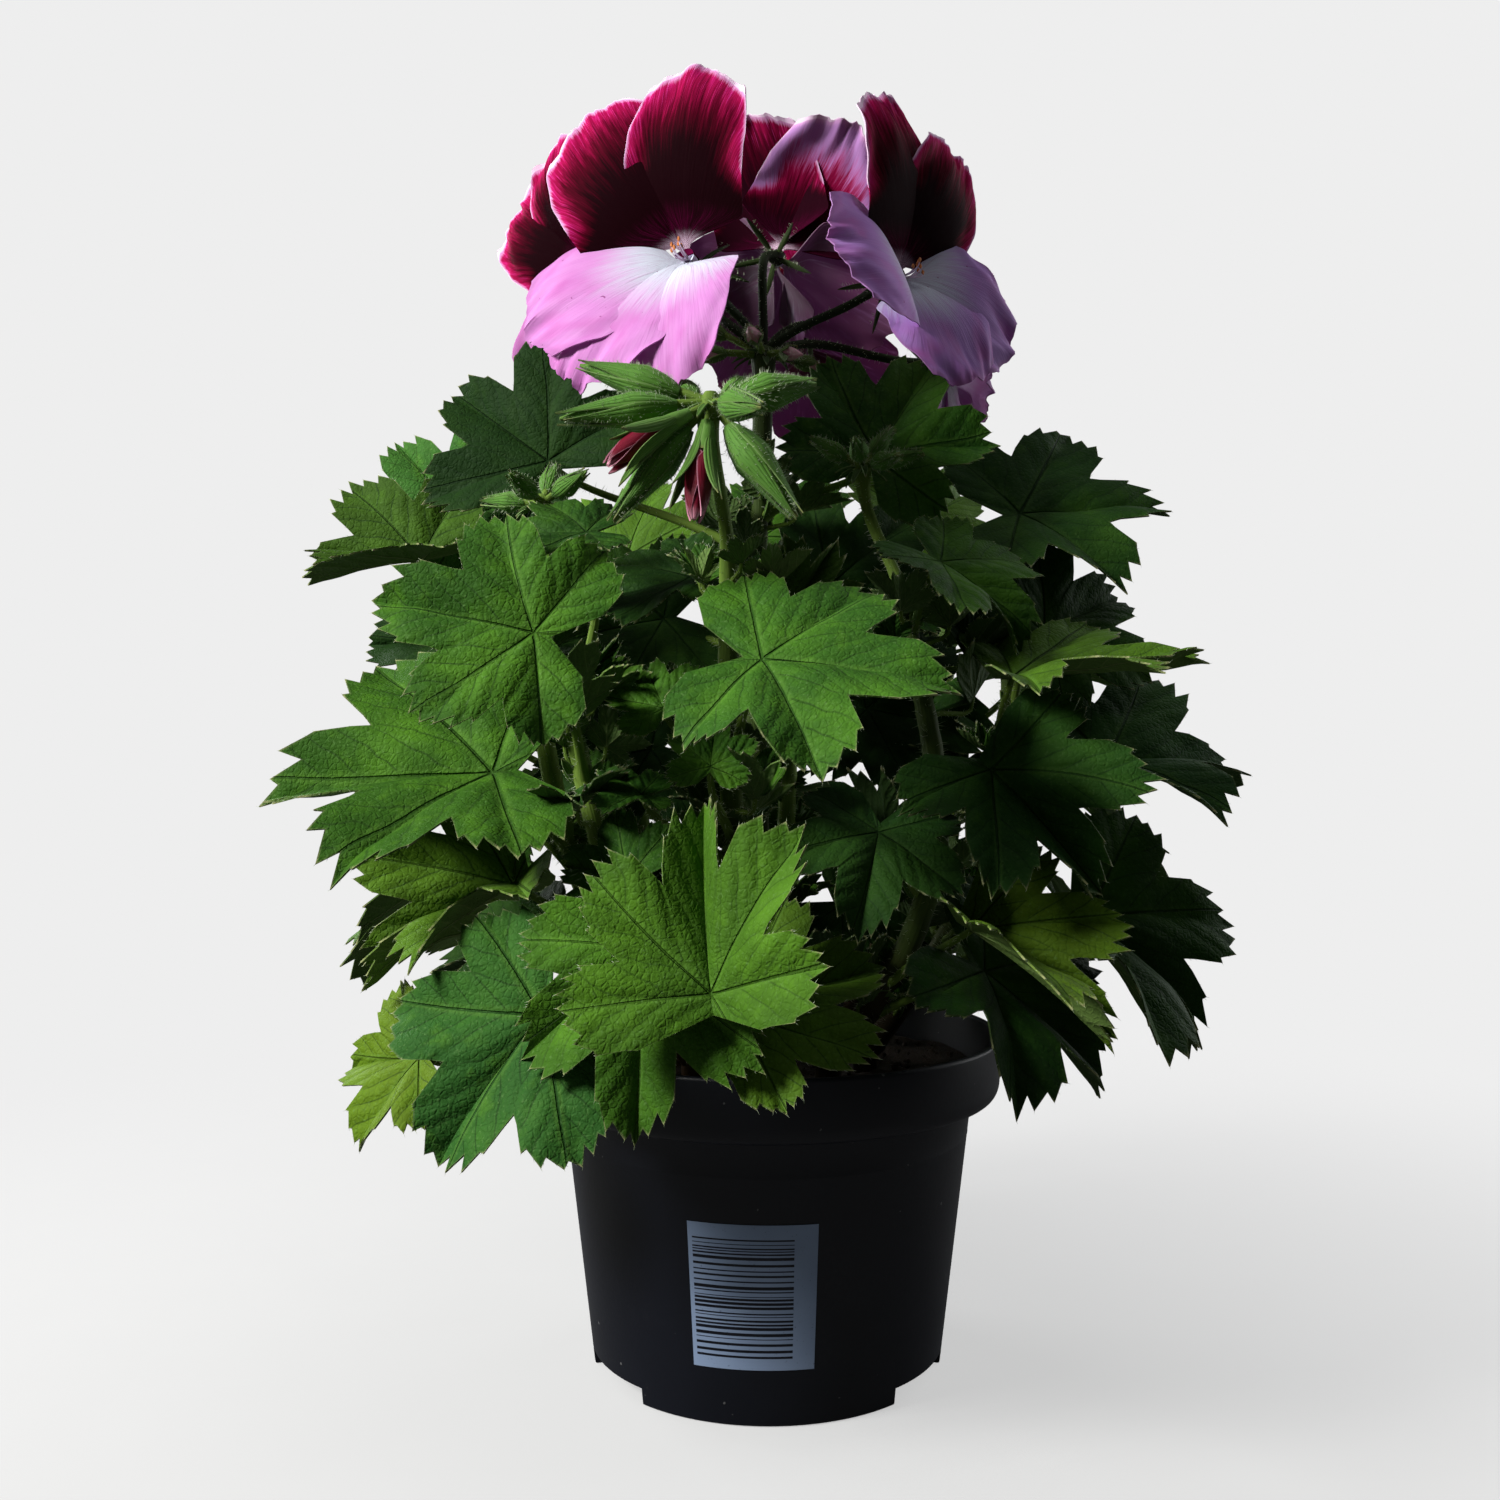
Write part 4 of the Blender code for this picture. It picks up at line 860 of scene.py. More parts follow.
class Paint:
    """The nodes of one material, or of the world behind the object."""

    def __init__(self, name, kind="materials"):
        self.owner = getattr(bpy.data, kind).new(name)
        self.owner.use_nodes = True
        self.tree = self.owner.node_tree
        self.tree.nodes.clear()

    def node(self, kind, settings=None, sockets=None):
        """Add a node of a kind, with its settings, and then the values or links of its sockets."""
        made = self.tree.nodes.new("ShaderNode" + kind)
        for key, value in (settings or {}).items():
            setattr(made, key, value)
        for key, value in (sockets or {}).items():
            if isinstance(value, Value):
                self.tree.links.new(value.socket, made.inputs[key])
            else:
                made.inputs[key].default_value = value
        return made

    def result(self, kind, settings=None, sockets=None, output=0):
        """Add a node and return one of its outcomes."""
        return Value(self, self.node(kind, settings, sockets).outputs[output])

    def math(self, operation, *values):
        """Return the outcome of a Math node."""
        return self.result("Math", {"operation": operation}, dict(enumerate(values)))

    def rise(self, value, low, high):
        """Return 0 where a value is below low, 1 where it is above high, and a smooth rise between."""
        sockets = {"Value": value, "From Min": low, "From Max": high}
        return self.result("MapRange", {"interpolation_type": "SMOOTHSTEP"}, sockets)

    def mix(self, share, first, second):
        """Return a colour a share of the way from the first to the second."""
        sockets = {0: share, 6: self.colour(first), 7: self.colour(second)}
        return self.result("Mix", {"data_type": "RGBA"}, sockets, 2)

    def layered(self, colour, *layers):
        """Return a colour with others laid over it in turn, each given as its share and its colour."""
        for share, over in layers:
            colour = self.mix(share, colour, over)
        return colour

    def colour(self, value):
        """Return a colour with its fourth number, or a link as it is."""
        return value if isinstance(value, Value) else (*value, 1.0)

    def marks(self, name):
        """Return the three numbers that a piece's points carry under a name."""
        vector = self.result("Attribute", {"attribute_name": name}, output="Vector")
        split = self.node("SeparateXYZ", {}, {0: vector})
        return [Value(self, output) for output in split.outputs]

    def join(self, x, y, z=0.0):
        """Return a vector of three numbers."""
        return self.result("CombineXYZ", {}, {0: x, 1: y, 2: z})

    def place(self):
        """Return the place on the piece, in metres."""
        return self.result("TexCoord", output="Object")

    def noise(self, vector, scale, detail=3.0, roughness=0.5):
        """Return a soft random number from 0 to 1 that changes over a vector."""
        sockets = {"Vector": vector, "Scale": scale, "Detail": detail, "Roughness": roughness}
        return self.result("TexNoise", {}, sockets)

    def cell_edges(self, vector, scale):
        """Return the distance to the nearest edge of a net of random cells."""
        settings = {"feature": "DISTANCE_TO_EDGE"}
        return self.result("TexVoronoi", settings, {"Vector": vector, "Scale": scale}, "Distance")

    def camera_ray(self):
        """Return 1 for what the camera sees itself, else 0; only the floor and the backdrop use it."""
        return self.result("LightPath", output="Is Camera Ray")

    def shaders(self, share, first, second):
        """Return a shader a share of the way from the first to the second."""
        return self.result("MixShader", {}, {0: share, 1: first, 2: second})

    def surface(self, colour, roughness, height=None, relief=0.1, glow=None, glow_share=0.2, shine=0.5,
                sheen=None):
        """Finish the material with its colour, roughness, relief in millimetres and light shining through."""
        sockets = {"Base Color": self.colour(colour), "Roughness": roughness, "Specular IOR Level": shine}
        sockets.update(sheen or {})
        if height is not None:
            bump = {"Height": height, "Distance": relief * MM, "Strength": 1.0}
            sockets["Normal"] = self.result("Bump", {}, bump)
        shader = self.result("BsdfPrincipled", {}, sockets)
        if glow is not None:
            through = self.result("BsdfTranslucent", {}, {"Color": self.colour(glow)})
            shader = self.shaders(glow_share, shader, through)
        self.node("OutputMaterial", {}, {"Surface": shader})
        return self.owner


# Colours, in linear red, green and blue. First the leaves', with the relief and the veins' layout.
LEAF_GREEN = (0.058, 0.165, 0.010)
LEAF_DEEP = (0.020, 0.075, 0.006)
LEAF_BLUE = (0.026, 0.110, 0.022)
LEAF_YELLOW = (0.135, 0.215, 0.010)
# A brighter green: the leaves' own paler mottling, and painted light on leaves whose shade is above 0.
LEAF_BRIGHT = (0.125, 0.300, 0.018)
# Painted shade: a near-black green for leaves deep in the bush or on its shaded side, and for the grooves of
# the upper face's veins.
LEAF_PAINTED_SHADE = (0.004, 0.018, 0.003)
LEAF_TIP = (0.36, 0.36, 0.18)
LEAF_UNDER = (0.140, 0.220, 0.070)
LEAF_UNDER_VEIN = (0.25, 0.33, 0.12)
LEAF_FLANK = (0.12, 0.26, 0.04)
# Painted glints: fine specks of light caught by the leaves' hairs.
LEAF_PAINTED_GLINT = (0.16, 0.30, 0.09)
LEAF_GLOW = (0.16, 0.40, 0.02)
LEAF_RELIEF = 0.62
VEIN_WIDTH = 0.011
VEIN_TAPER = 0.007
SIDE_VEIN_SLANT = 1.30
SIDE_VEIN_STEP = 0.190
SIDE_VEIN_WAVER = 0.22

# The stems and stalks.
STALK_GREEN = (0.070, 0.150, 0.018)
STALK_STREAK = (0.170, 0.250, 0.040)
STALK_CORK = (0.080, 0.045, 0.020)
# Near-black: a little random darkening of the stalks' own tone, and mostly painted shade on stalks inside the
# bush and under the flowers.
STALK_DARK_TONE_AND_SHADE = (0.006, 0.012, 0.005)

# The sepals, stipules, bracts and hairs.
SEPAL_GREEN = (0.052, 0.140, 0.017)
SEPAL_LINE = (0.110, 0.240, 0.040)
SEPAL_FURROW = (0.15, 0.28, 0.06)
SEPAL_KEEL = (0.20, 0.35, 0.08)
SEPAL_MARGIN = (0.30, 0.40, 0.18)
SEPAL_TIP = (0.20, 0.12, 0.06)
SEPAL_VELVET = (0.085, 0.225, 0.032)
# Painted shade: near-black green for the calyxes, bracts and hub buds in the shade under the flowers.
SEPAL_PAINTED_SHADE = (0.007, 0.014, 0.005)
SEPAL_RED = (0.12, 0.03, 0.03)
SEPAL_GLOW = (0.22, 0.45, 0.06)
SEPAL_SHEEN = {"Sheen Weight": 0.10, "Sheen Roughness": 0.4, "Sheen Tint": (0.9, 1.0, 0.8, 1.0)}
HAIR_COLOURS = ((0.38, 0.46, 0.28), (0.62, 0.68, 0.52))
HAIR_GLOW = (0.6, 0.7, 0.5)

# The dark upper petals, and how far below a petal's root its streaks meet.
BLOTCH_BLACK = (0.008, 0.0004, 0.0018)
BLOTCH_RED = (0.075, 0.0007, 0.010)
CRIMSON = (0.310, 0.004, 0.055)
MAGENTA = (0.620, 0.018, 0.210)
MAGENTA_GLINT = (0.66, 0.05, 0.32)
LILAC_TIP = (0.48, 0.24, 0.56)
DARK_BACK = (0.08, 0.005, 0.03)
DARK_RIM = (0.66, 0.34, 0.62)
DARK_RIM_EDGE = (0.80, 0.62, 0.78)
DARK_CLAW = (0.70, 0.50, 0.64)
DARK_GUIDE = (0.09, 0.002, 0.03)
DARK_GLOW = (0.40, 0.004, 0.05)
PETAL_FAN_START = 0.35

# The pale lower petals.
PINKS = ((0.52, 0.17, 0.50), (0.68, 0.32, 0.66))
VIOLETS = ((0.27, 0.12, 0.48), (0.52, 0.32, 0.68))
WHITE_THROAT = (0.66, 0.72, 0.82)
PINK_FLUSH = (0.50, 0.10, 0.40)
PINK_VEIN = (0.30, 0.04, 0.22)
PINK_FRECKLE = (0.20, 0.02, 0.14)
PINK_RIM = (0.42, 0.16, 0.40)
PINK_BACK = (0.48, 0.34, 0.52)
# A deep crimson: partly the own dark red of the lower petals set back among the flowers, and partly painted
# shade on them.
DUSKY_CRIMSON_AND_SHADE = (0.070, 0.004, 0.020)
PINK_GLOW = (0.80, 0.36, 0.74)

# The pot, its panel and the soil.
PLASTIC_BLACKS = ((0.0008, 0.0013, 0.0034), (0.0040, 0.0056, 0.0125))
PLASTIC_DUST = (0.09, 0.09, 0.09)
WATER_SPECK = (0.20, 0.20, 0.20)
PANEL_BLUES = ((0.20, 0.28, 0.44), (0.30, 0.39, 0.56))
PANEL_WORN = (0.05, 0.07, 0.10)
SOIL_BROWNS = ((0.010, 0.007, 0.005), (0.060, 0.038, 0.024))
SOIL_FIBRE = (0.16, 0.11, 0.07)

# The petals in the buds, and the stamens.
ROLLED_REDS = ((0.06, 0.001, 0.006), (0.26, 0.004, 0.03))
ROLLED_RIM = (0.70, 0.30, 0.42)
ROLLED_TIP = (0.72, 0.34, 0.44)
ROLLED_GLOW = (0.6, 0.02, 0.06)
FURLED_PINKS = ((0.42, 0.16, 0.20), (0.70, 0.46, 0.48))
FURLED_GLOW = (0.8, 0.4, 0.5)
POLLEN_ORANGES = ((0.36, 0.08, 0.02), (0.62, 0.22, 0.05))
FILAMENT_LILACS = ((0.62, 0.42, 0.60), (0.85, 0.72, 0.84))


def leaf_paint(name, under):
    """Make a blade's finish: mottled green with a palm of main veins, forward side veins and a fine net, with
    painted shade in the upper face's vein grooves, painted light and shade by the blade's shade, and painted
    glints of light on its hairs.
    """
    paint = Paint(name)
    along, sideways, tip = paint.marks("mark")
    shade, hue, out = paint.marks("tone")
    across = abs(sideways)
    place = paint.place()
    uneven = paint.noise(place, 260.0, 2.0)
    from_vein = across / (VEIN_WIDTH - along * VEIN_TAPER)
    main = 1 - paint.rise(from_vein, 0.1 + uneven * 0.5, 0.7 + uneven * 0.7)
    flank = paint.rise(from_vein, 0.8, 1.6) * (1 - paint.rise(from_vein, 1.8, 5.0))
    waver = paint.noise(place, 70.0, 2.0) * SIDE_VEIN_WAVER
    slant = paint.math("FRACT", (along - across * SIDE_VEIN_SLANT + waver) / SIDE_VEIN_STEP)
    away = abs(slant - 0.5)
    side = (1 - paint.rise(away, 0.012, 0.070)) * paint.rise(across, 0.006, 0.03)
    side = side * (1 - paint.rise(across, 0.10, 0.34) * 0.8)
    net = 1 - paint.rise(paint.cell_edges(place, 620.0), 0.0, 0.22)
    grain = paint.noise(place, 1250.0, 2.0, 0.6)
    mottle = paint.noise(place, 150.0, 4.0, 0.6)
    patch = paint.noise(place, 34.0, 2.0)
    colour = paint.layered(
        LEAF_GREEN,
        (paint.rise(patch + mottle * 0.7, 0.62, 0.96), LEAF_DEEP),
        (paint.rise(hue, 0.0, 1.0) * 0.8, LEAF_YELLOW),
        (paint.rise(0 - hue, 0.0, 1.0) * 0.8, LEAF_BLUE),
        (paint.rise(mottle, 0.52, 0.80) * 0.30, LEAF_BRIGHT),
    )
    if under:
        veins = main * 0.7 + side * 0.35
        colour = paint.layered(colour, (0.6, LEAF_UNDER), (veins, LEAF_UNDER_VEIN))
    else:
        # On the upper face the veins and the fine net are darkened with painted shade, as shade in their
        # grooves, with paler flanks beside them.
        veins = main * 0.42 + side * 0.55 + net * 0.09
        colour = paint.layered(colour, (veins, LEAF_PAINTED_SHADE), (flank * 0.22, LEAF_FLANK))
    # Painted shade darkens blades whose shade is below 0 and painted light brightens those above it; the
    # painted glints and the pale margin fade under the painted shade.
    painted_shade_share = paint.rise(0 - shade, 0.0, 1.0) * 0.90
    colour = paint.layered(
        colour,
        (painted_shade_share, LEAF_PAINTED_SHADE),
        (paint.rise(shade, 0.0, 1.0) * 0.55, LEAF_BRIGHT),
        (paint.rise(grain, 0.56, 0.74) * (1 - painted_shade_share) * 0.26, LEAF_PAINTED_GLINT),
        (paint.rise(out, 0.975, 1.0) * (1 - painted_shade_share * 0.7) * 0.14, LEAF_TIP),
        (paint.rise(tip, 0.55, 1.0) * 0.7, LEAF_TIP),
    )
    quilt = paint.rise(away, 0.0, 0.42)
    ribs = main + (1 - quilt) * 0.40 * paint.rise(across, 0.0, 0.06) + net * 0.14
    height = (ribs if under else 1 - ribs) + mottle * 0.9 + grain * 0.30
    return paint.surface(colour, 0.60 + mottle * 0.2, height, LEAF_RELIEF, LEAF_GLOW, 0.06, 0.09)


def stalk_paint():
    """Make the stems' and stalks' finish: green with lengthwise streaks, brown and corky near the soil, and
    darkened towards near-black by their tone, mostly as painted shade.
    """
    paint = Paint("hairy green stalk")
    length, turn, _ = paint.marks("mark")
    brown, dark, _ = paint.marks("tone")
    streak = paint.noise(paint.join(turn * 9, length * 2), 3.0, 3.0)
    blotch = paint.noise(paint.place(), 150.0, 3.0)
    colour = paint.layered(
        STALK_GREEN,
        (streak, STALK_STREAK),
        (paint.rise(brown + blotch * 0.6, 0.55, 1.25), STALK_CORK),
        # Mostly painted shade: stalks inside the bush and under the flowers are darkened to near-black.
        (dark, STALK_DARK_TONE_AND_SHADE),
    )
    return paint.surface(colour, 0.58 + blotch * 0.2, streak + blotch * 0.5, 0.25, shine=0.12)


def sepal_paint():
    """Make the finish of sepals, stipules and bracts: green with a paler keel and fine lines along them,
    darkened by painted shade as their tone says.
    """
    paint = Paint("hairy green sepal")
    along, across, _ = paint.marks("mark")
    dark, red, velvet = paint.marks("tone")
    lines = paint.noise(paint.join(across * 6, along * 1.5), 3.0, 2.0)
    blotch = paint.noise(paint.place(), 200.0, 3.0)
    ribs = paint.rise(abs(paint.math("FRACT", across * 2.5) - 0.5), 0.05, 0.35)
    colour = paint.layered(
        SEPAL_GREEN,
        (lines, SEPAL_LINE),
        ((1 - ribs) * 0.14, SEPAL_FURROW),
        (paint.rise(1 - across, 0.80, 1.0) * 0.35, SEPAL_KEEL),
        (paint.rise(across, 0.86, 1.0) * 0.35, SEPAL_MARGIN),
        (paint.rise(along, 0.86, 1.0) * 0.5, SEPAL_TIP),
        (velvet * (1 - paint.rise(across, 0.2, 0.9)) * 0.70, SEPAL_VELVET),
        # Painted shade, mostly on the calyxes and the flower head's bracts.
        (dark, SEPAL_PAINTED_SHADE),
        (red * 0.7, SEPAL_RED),
    )
    height = lines * 0.5 + blotch * 0.4 + ribs * 0.7
    return paint.surface(colour, 0.55 + blotch * 0.2, height, 0.18, SEPAL_GLOW, 0.10, 0.12, SEPAL_SHEEN)


def hair_paint():
    """Make the hairs' finish: pale and a little see-through."""
    paint = Paint("pale hair")
    colour = paint.mix(paint.noise(paint.place(), 90.0, 1.0), *HAIR_COLOURS)
    return paint.surface(colour, 0.5, glow=HAIR_GLOW, glow_share=0.35)


def petal_edge(paint, along, across):
    """Return how near a petal's point is to its margin: 1 at the edge, falling inwards."""
    tip = along + across * across * 0.05
    return paint.math("MAXIMUM", tip, paint.rise(along, 0.15, 0.5) * abs(across))


def dark_petal_paint(name, back):
    """Make the upper petals' finish: a near-black blotch, feathered through crimson to magenta."""
    paint = Paint(name)
    along, across, _ = paint.marks("mark")
    luck, pale, _ = paint.marks("tone")
    fan = across / (along + PETAL_FAN_START)
    streak = paint.noise(paint.join(fan * 8, along * 1.4, luck * 7), 2.2, 4.0, 0.65)
    fine = paint.noise(paint.join(fan * 40, along * 2.5, luck * 3), 2.0, 2.0, 0.6)
    edge = petal_edge(paint, along, across)
    feather = edge + (streak - 0.5) * 0.46 + (fine - 0.5) * 0.30 + pale * 0.30
    rim = paint.rise(edge + (fine - 0.5) * 0.08, 0.945, 0.99)
    claw = 1 - paint.rise(along + (fine - 0.5) * 0.10, 0.04, 0.12)
    guides = paint.rise(fine, 0.50, 0.58) * (1 - paint.rise(along, 0.12, 0.28))
    colour = paint.layered(
        BLOTCH_BLACK,
        (paint.rise(feather, 0.50, 0.80), BLOTCH_RED),
        (paint.rise(feather, 0.70, 0.94), CRIMSON),
        (paint.rise(feather, 0.88, 1.10) * 0.9, MAGENTA),
        (paint.rise(fine, 0.56, 0.70) * paint.rise(edge, 0.74, 0.97) * 0.75, MAGENTA_GLINT),
        (paint.rise(feather, 0.86, 1.12) * paint.rise(pale, 0.15, 0.7), LILAC_TIP),
        (0.10 if back else 0.0, DARK_BACK),
        (rim * 0.75, DARK_RIM),
        (paint.rise(edge, 0.988, 1.0) * 0.8, DARK_RIM_EDGE),
        (claw, DARK_CLAW),
        (guides, DARK_GUIDE),
    )
    return paint.surface(colour, 0.6 + fine * 0.15, streak * 0.5 + fine * 0.4, 0.22, DARK_GLOW, 0.05, 0.015)


def pale_petal_paint(name, back):
    """Make the lower petals' finish: mauve-pink that pales to a white throat, with fine purple veins, and
    deep crimson blotches that are partly the petals' own colour and partly painted shade.
    """
    paint = Paint(name)
    along, across, _ = paint.marks("mark")
    luck, violet, dusk = paint.marks("tone")
    fan = across / (along + PETAL_FAN_START)
    streak = paint.noise(paint.join(fan * 6, along * 1.2, luck * 7), 2.0, 3.0, 0.6)
    fine = paint.noise(paint.join(fan * 26, along * 2.0, luck * 3), 2.0, 2.0, 0.6)
    cloud = paint.noise(paint.join(across * 1.5, along * 2.0, luck * 5), 1.6, 2.0)
    edge = petal_edge(paint, along, across)
    pink = paint.mix(violet, paint.mix(streak, *PINKS), paint.mix(streak, *VIOLETS))
    outer = paint.rise(along + (streak - 0.5) * 0.4 + abs(across) * 0.15, 0.16, 0.66)
    flush = paint.rise(cloud + edge * 0.25, 0.62, 0.92) * paint.rise(along, 0.3, 0.7)
    veins = paint.rise(fine, 0.56, 0.64) * (1 - paint.rise(along, 0.15, 0.70))
    freckles = paint.rise(paint.noise(paint.place(), 620.0, 1.0), 0.765, 0.80)
    colour = paint.layered(
        WHITE_THROAT,
        (outer, pink),
        (flush * 0.55, PINK_FLUSH),
        (veins * 0.40, PINK_VEIN),
        (freckles * 0.8, PINK_FRECKLE),
        (paint.rise(edge, 0.955, 1.0) * 0.45, PINK_RIM),
        (0.25 if back else 0.0, PINK_BACK),
        # Blotches of deep crimson: partly the petals' own dark red, partly painted shade on flowers set back
        # among the others.
        (dusk * paint.rise(streak + cloud * 0.6, 0.35, 0.80), DUSKY_CRIMSON_AND_SHADE),
    )
    return paint.surface(colour, 0.55 + fine * 0.15, streak * 0.4 + fine * 0.5, 0.26, PINK_GLOW, 0.20, 0.12)


def plastic_paint():
    """Make the pot's finish: near-black satin plastic with faint flow marks, dust and water specks."""
    paint = Paint("dark moulded plastic")
    place = paint.place()
    grain = paint.noise(place, 900.0, 3.0, 0.6)
    cloud = paint.noise(place, 26.0, 3.0)
    specks = paint.rise(paint.noise(place, 430.0, 1.0), 0.775, 0.80)
    colour = paint.layered(
        paint.mix(cloud, *PLASTIC_BLACKS),
        (paint.rise(cloud + grain * 0.4, 0.78, 1.0) * 0.06, PLASTIC_DUST),
        (specks * 0.45, WATER_SPECK),
    )
    return paint.surface(colour, 0.36 + cloud * 0.12 + grain * 0.06, grain + specks * 0.8, 0.03, shine=0.38)


def panel_paint():
    """Make the printed panel's pale ink: blue-grey, a little uneven and worn."""
    paint = Paint("pale printed panel")
    place = paint.place()
    cloud = paint.noise(place, 60.0, 3.0)
    grain = paint.noise(place, 1500.0, 2.0)
    worn = paint.rise(grain, 0.66, 0.76) * 0.5
    colour = paint.mix(worn, paint.mix(cloud, *PANEL_BLUES), PANEL_WORN)
    return paint.surface(colour, 0.42 + cloud * 0.12, grain, 0.01)


def soil_paint():
    """Make the soil's finish: damp brown peat with paler fibres."""
    paint = Paint("damp potting soil")
    place = paint.place()
    coarse = paint.noise(place, 240.0, 5.0, 0.7)
    fine = paint.noise(place, 1100.0, 3.0, 0.7)
    fibres = paint.rise(fine, 0.62, 0.75) * 0.6
    colour = paint.mix(fibres, paint.mix(coarse, *SOIL_BROWNS), SOIL_FIBRE)
    return paint.surface(colour, 0.8 + fine * 0.15, coarse + fine * 0.6, 1.1)


def bud_petal_paint():
    """Make the rolled petals' finish in opening buds: deep crimson with pale edges."""
    paint = Paint("rolled crimson petal")
    along, across, _ = paint.marks("mark")
    streak = paint.noise(paint.join(across * 6, along * 2), 2.0, 3.0)
    colour = paint.layered(
        paint.mix(streak, *ROLLED_REDS),
        (paint.rise(abs(across), 0.88, 1.0) * 0.7, ROLLED_RIM),
        (paint.rise(along + streak * 0.2, 0.94, 1.12) * 0.8, ROLLED_TIP),
    )
    return paint.surface(colour, 0.42 + streak * 0.15, streak, 0.15, ROLLED_GLOW, 0.08, 0.25)


def young_petal_paint():
    """Make the closed small buds' finish: pale pink petals that are still furled."""
    paint = Paint("furled pink petal")
    along, turn, _ = paint.marks("mark")
    swirl = paint.noise(paint.join(turn * 5 + along * 2, along), 2.4, 2.0)
    return paint.surface(paint.mix(swirl, *FURLED_PINKS), 0.5 + swirl * 0.1, swirl, 0.2, FURLED_GLOW, 0.2)


def anther_paint():
    """Make the anthers' finish: orange-brown pollen."""
    paint = Paint("orange pollen")
    grain = paint.noise(paint.place(), 1200.0, 2.0)
    return paint.surface(paint.mix(grain, *POLLEN_ORANGES), 0.8, grain, 0.1)


def filament_paint():
    """Make the stamens' finish: pale lilac."""
    paint = Paint("lilac filament")
    grain = paint.noise(paint.place(), 300.0, 2.0)
    return paint.surface(paint.mix(grain, *FILAMENT_LILACS), 0.45 + grain * 0.1)


class Finishes:
    """Every finish of the object, made once."""

    def __init__(self):
        self.leaf = (leaf_paint("leaf upper face", False), leaf_paint("leaf underside", True))
        self.stalk = stalk_paint()
        self.sepal = sepal_paint()
        self.hair = hair_paint()
        sides = (("face", False), ("back", True))
        self.dark_petal = [dark_petal_paint("dark petal " + side, back) for side, back in sides]
        self.pale_petal = [pale_petal_paint("pale petal " + side, back) for side, back in sides]
        self.rolled_petal = bud_petal_paint()
        self.young_petal = young_petal_paint()
        self.anther = anther_paint()
        self.filament = filament_paint()
        self.plastic = plastic_paint()
        self.panel = panel_paint()
        self.soil = soil_paint()


# Leaves and stems


class LeafShape:
    """The curved surface of one leaf blade, read in polar coordinates about the end of its stalk."""

    def __init__(self, leaf):
        self.leaf = leaf
        dice = random.Random(repr(leaf.junction))
        self.lobe_lengths = [length * (1 + LOBE_VARIATION * dice.uniform(-1, 1)) for length in LOBE_LENGTHS]
        self.lobe_lifts = [dice.uniform(-LOBE_LIFT, LOBE_LIFT) for _ in LOBE_LENGTHS]
        self.vein_bends = [dice.uniform(-VEIN_BEND_DEG, VEIN_BEND_DEG) for _ in LOBE_LENGTHS]
        self.along = direction(*leaf.midrib)
        self.up = square_to(self.along, direction(*leaf.facing))
        self.left = self.up.cross(self.along)

    def lobe_at(self, angle):
        """Return the lobe that holds an angle, and how far the angle is from its vein to its edge, signed."""
        lobe = min(range(len(LOBE_VEINS_DEG)), key=lambda index: abs(angle - LOBE_VEINS_DEG[index]))
        away = angle - LOBE_VEINS_DEG[lobe]
        outermost = lobe in (0, len(LOBE_VEINS_DEG) - 1) and abs(angle) > abs(LOBE_VEINS_DEG[lobe])
        half = (LOBE_VEINS_DEG[1] - LOBE_VEINS_DEG[0]) / 2
        if outermost:
            half = LEAF_EDGE_DEG - LOBE_VEINS_DEG[-1]
        return lobe, max(-1.0, min(1.0, away / half))

    def reach(self, angle):
        """Return the blade's length, as a share of the midrib, towards an angle, without the teeth."""
        lobe, share = self.lobe_at(angle)
        neighbour = lobe + (1 if share > 0 else -1)
        own = self.lobe_lengths[lobe]
        if 0 <= neighbour < len(self.lobe_lengths):
            own = blend(own, (own + self.lobe_lengths[neighbour]) / 2, abs(share))
        return own * (1 - LOBE_DEPTH * abs(share) ** LOBE_ROUNDNESS)

    def point(self, angle, radius, lift=0.0):
        """Return the surface's point at an angle and a radius (a share of the midrib), with an extra lift."""
        leaf = self.leaf
        lobe, share = self.lobe_at(angle)
        turn = math.radians(angle if abs(angle) == 180 else angle * leaf.spread)
        x = radius * math.cos(turn)
        y = radius * math.sin(turn)
        puff = LOBE_PUFF * abs(share) * (1 - abs(share))
        raised = radius ** 1.5 * self.lobe_lifts[lobe] * (1 - abs(share))
        z = radius * (PLEAT_HEIGHT * abs(share) + puff) + raised + lift
        fold = math.radians(leaf.fold + LOBE_CURL_DEG * abs(y))
        side = math.copysign(1, y)
        y, z = y * math.cos(fold) - side * z * math.sin(fold), abs(y) * math.sin(fold) + z * math.cos(fold)
        bend = math.radians(leaf.droop)
        sine, cosine = math.sin(bend * x), math.cos(bend * x)
        x, z = sine / bend + z * sine, -(1 - cosine) / bend + z * cosine
        return Vector(leaf.junction) + (self.along * x + self.left * y + self.up * z) * leaf.length


def margin_columns(shape, dice, teeth):
    """Return a blade's columns: angle, reach, the margin's notch and sideways shift, and its tooth tip."""
    between = (LOBE_VEINS_DEG[1] - LOBE_VEINS_DEG[0]) / 2
    last = len(LOBE_VEINS_DEG) - 1
    columns = []
    for lobe, vein in enumerate(LOBE_VEINS_DEG):
        low = LEAF_EDGE_DEG + vein if lobe == 0 else between
        high = LEAF_EDGE_DEG - vein if lobe == last else between
        for step in range(-teeth, teeth + (lobe == last)):
            share = step / teeth
            half = low if share < 0 else high
            angle = vein + share * half
            notch = profile_at(BIG_TEETH, abs(share)) * TOOTH_DEPTH
            shift = 0.0
            tip = 0.0
            if step % 2:
                notch += dice.uniform(*FINE_TOOTH_DEPTHS)
            elif abs(share) < 1:
                tip = 1.0
                notch -= dice.uniform(*FINE_TOOTH_REACH)
                if step:
                    shift = -math.copysign(FINE_TOOTH_LEAN * half / teeth, share)
            columns.append((angle, shape.reach(angle), notch, shift, tip))
    columns.append((180.0, NOTCH_RADIUS, 0.0, 0.0, 0.0))
    return columns


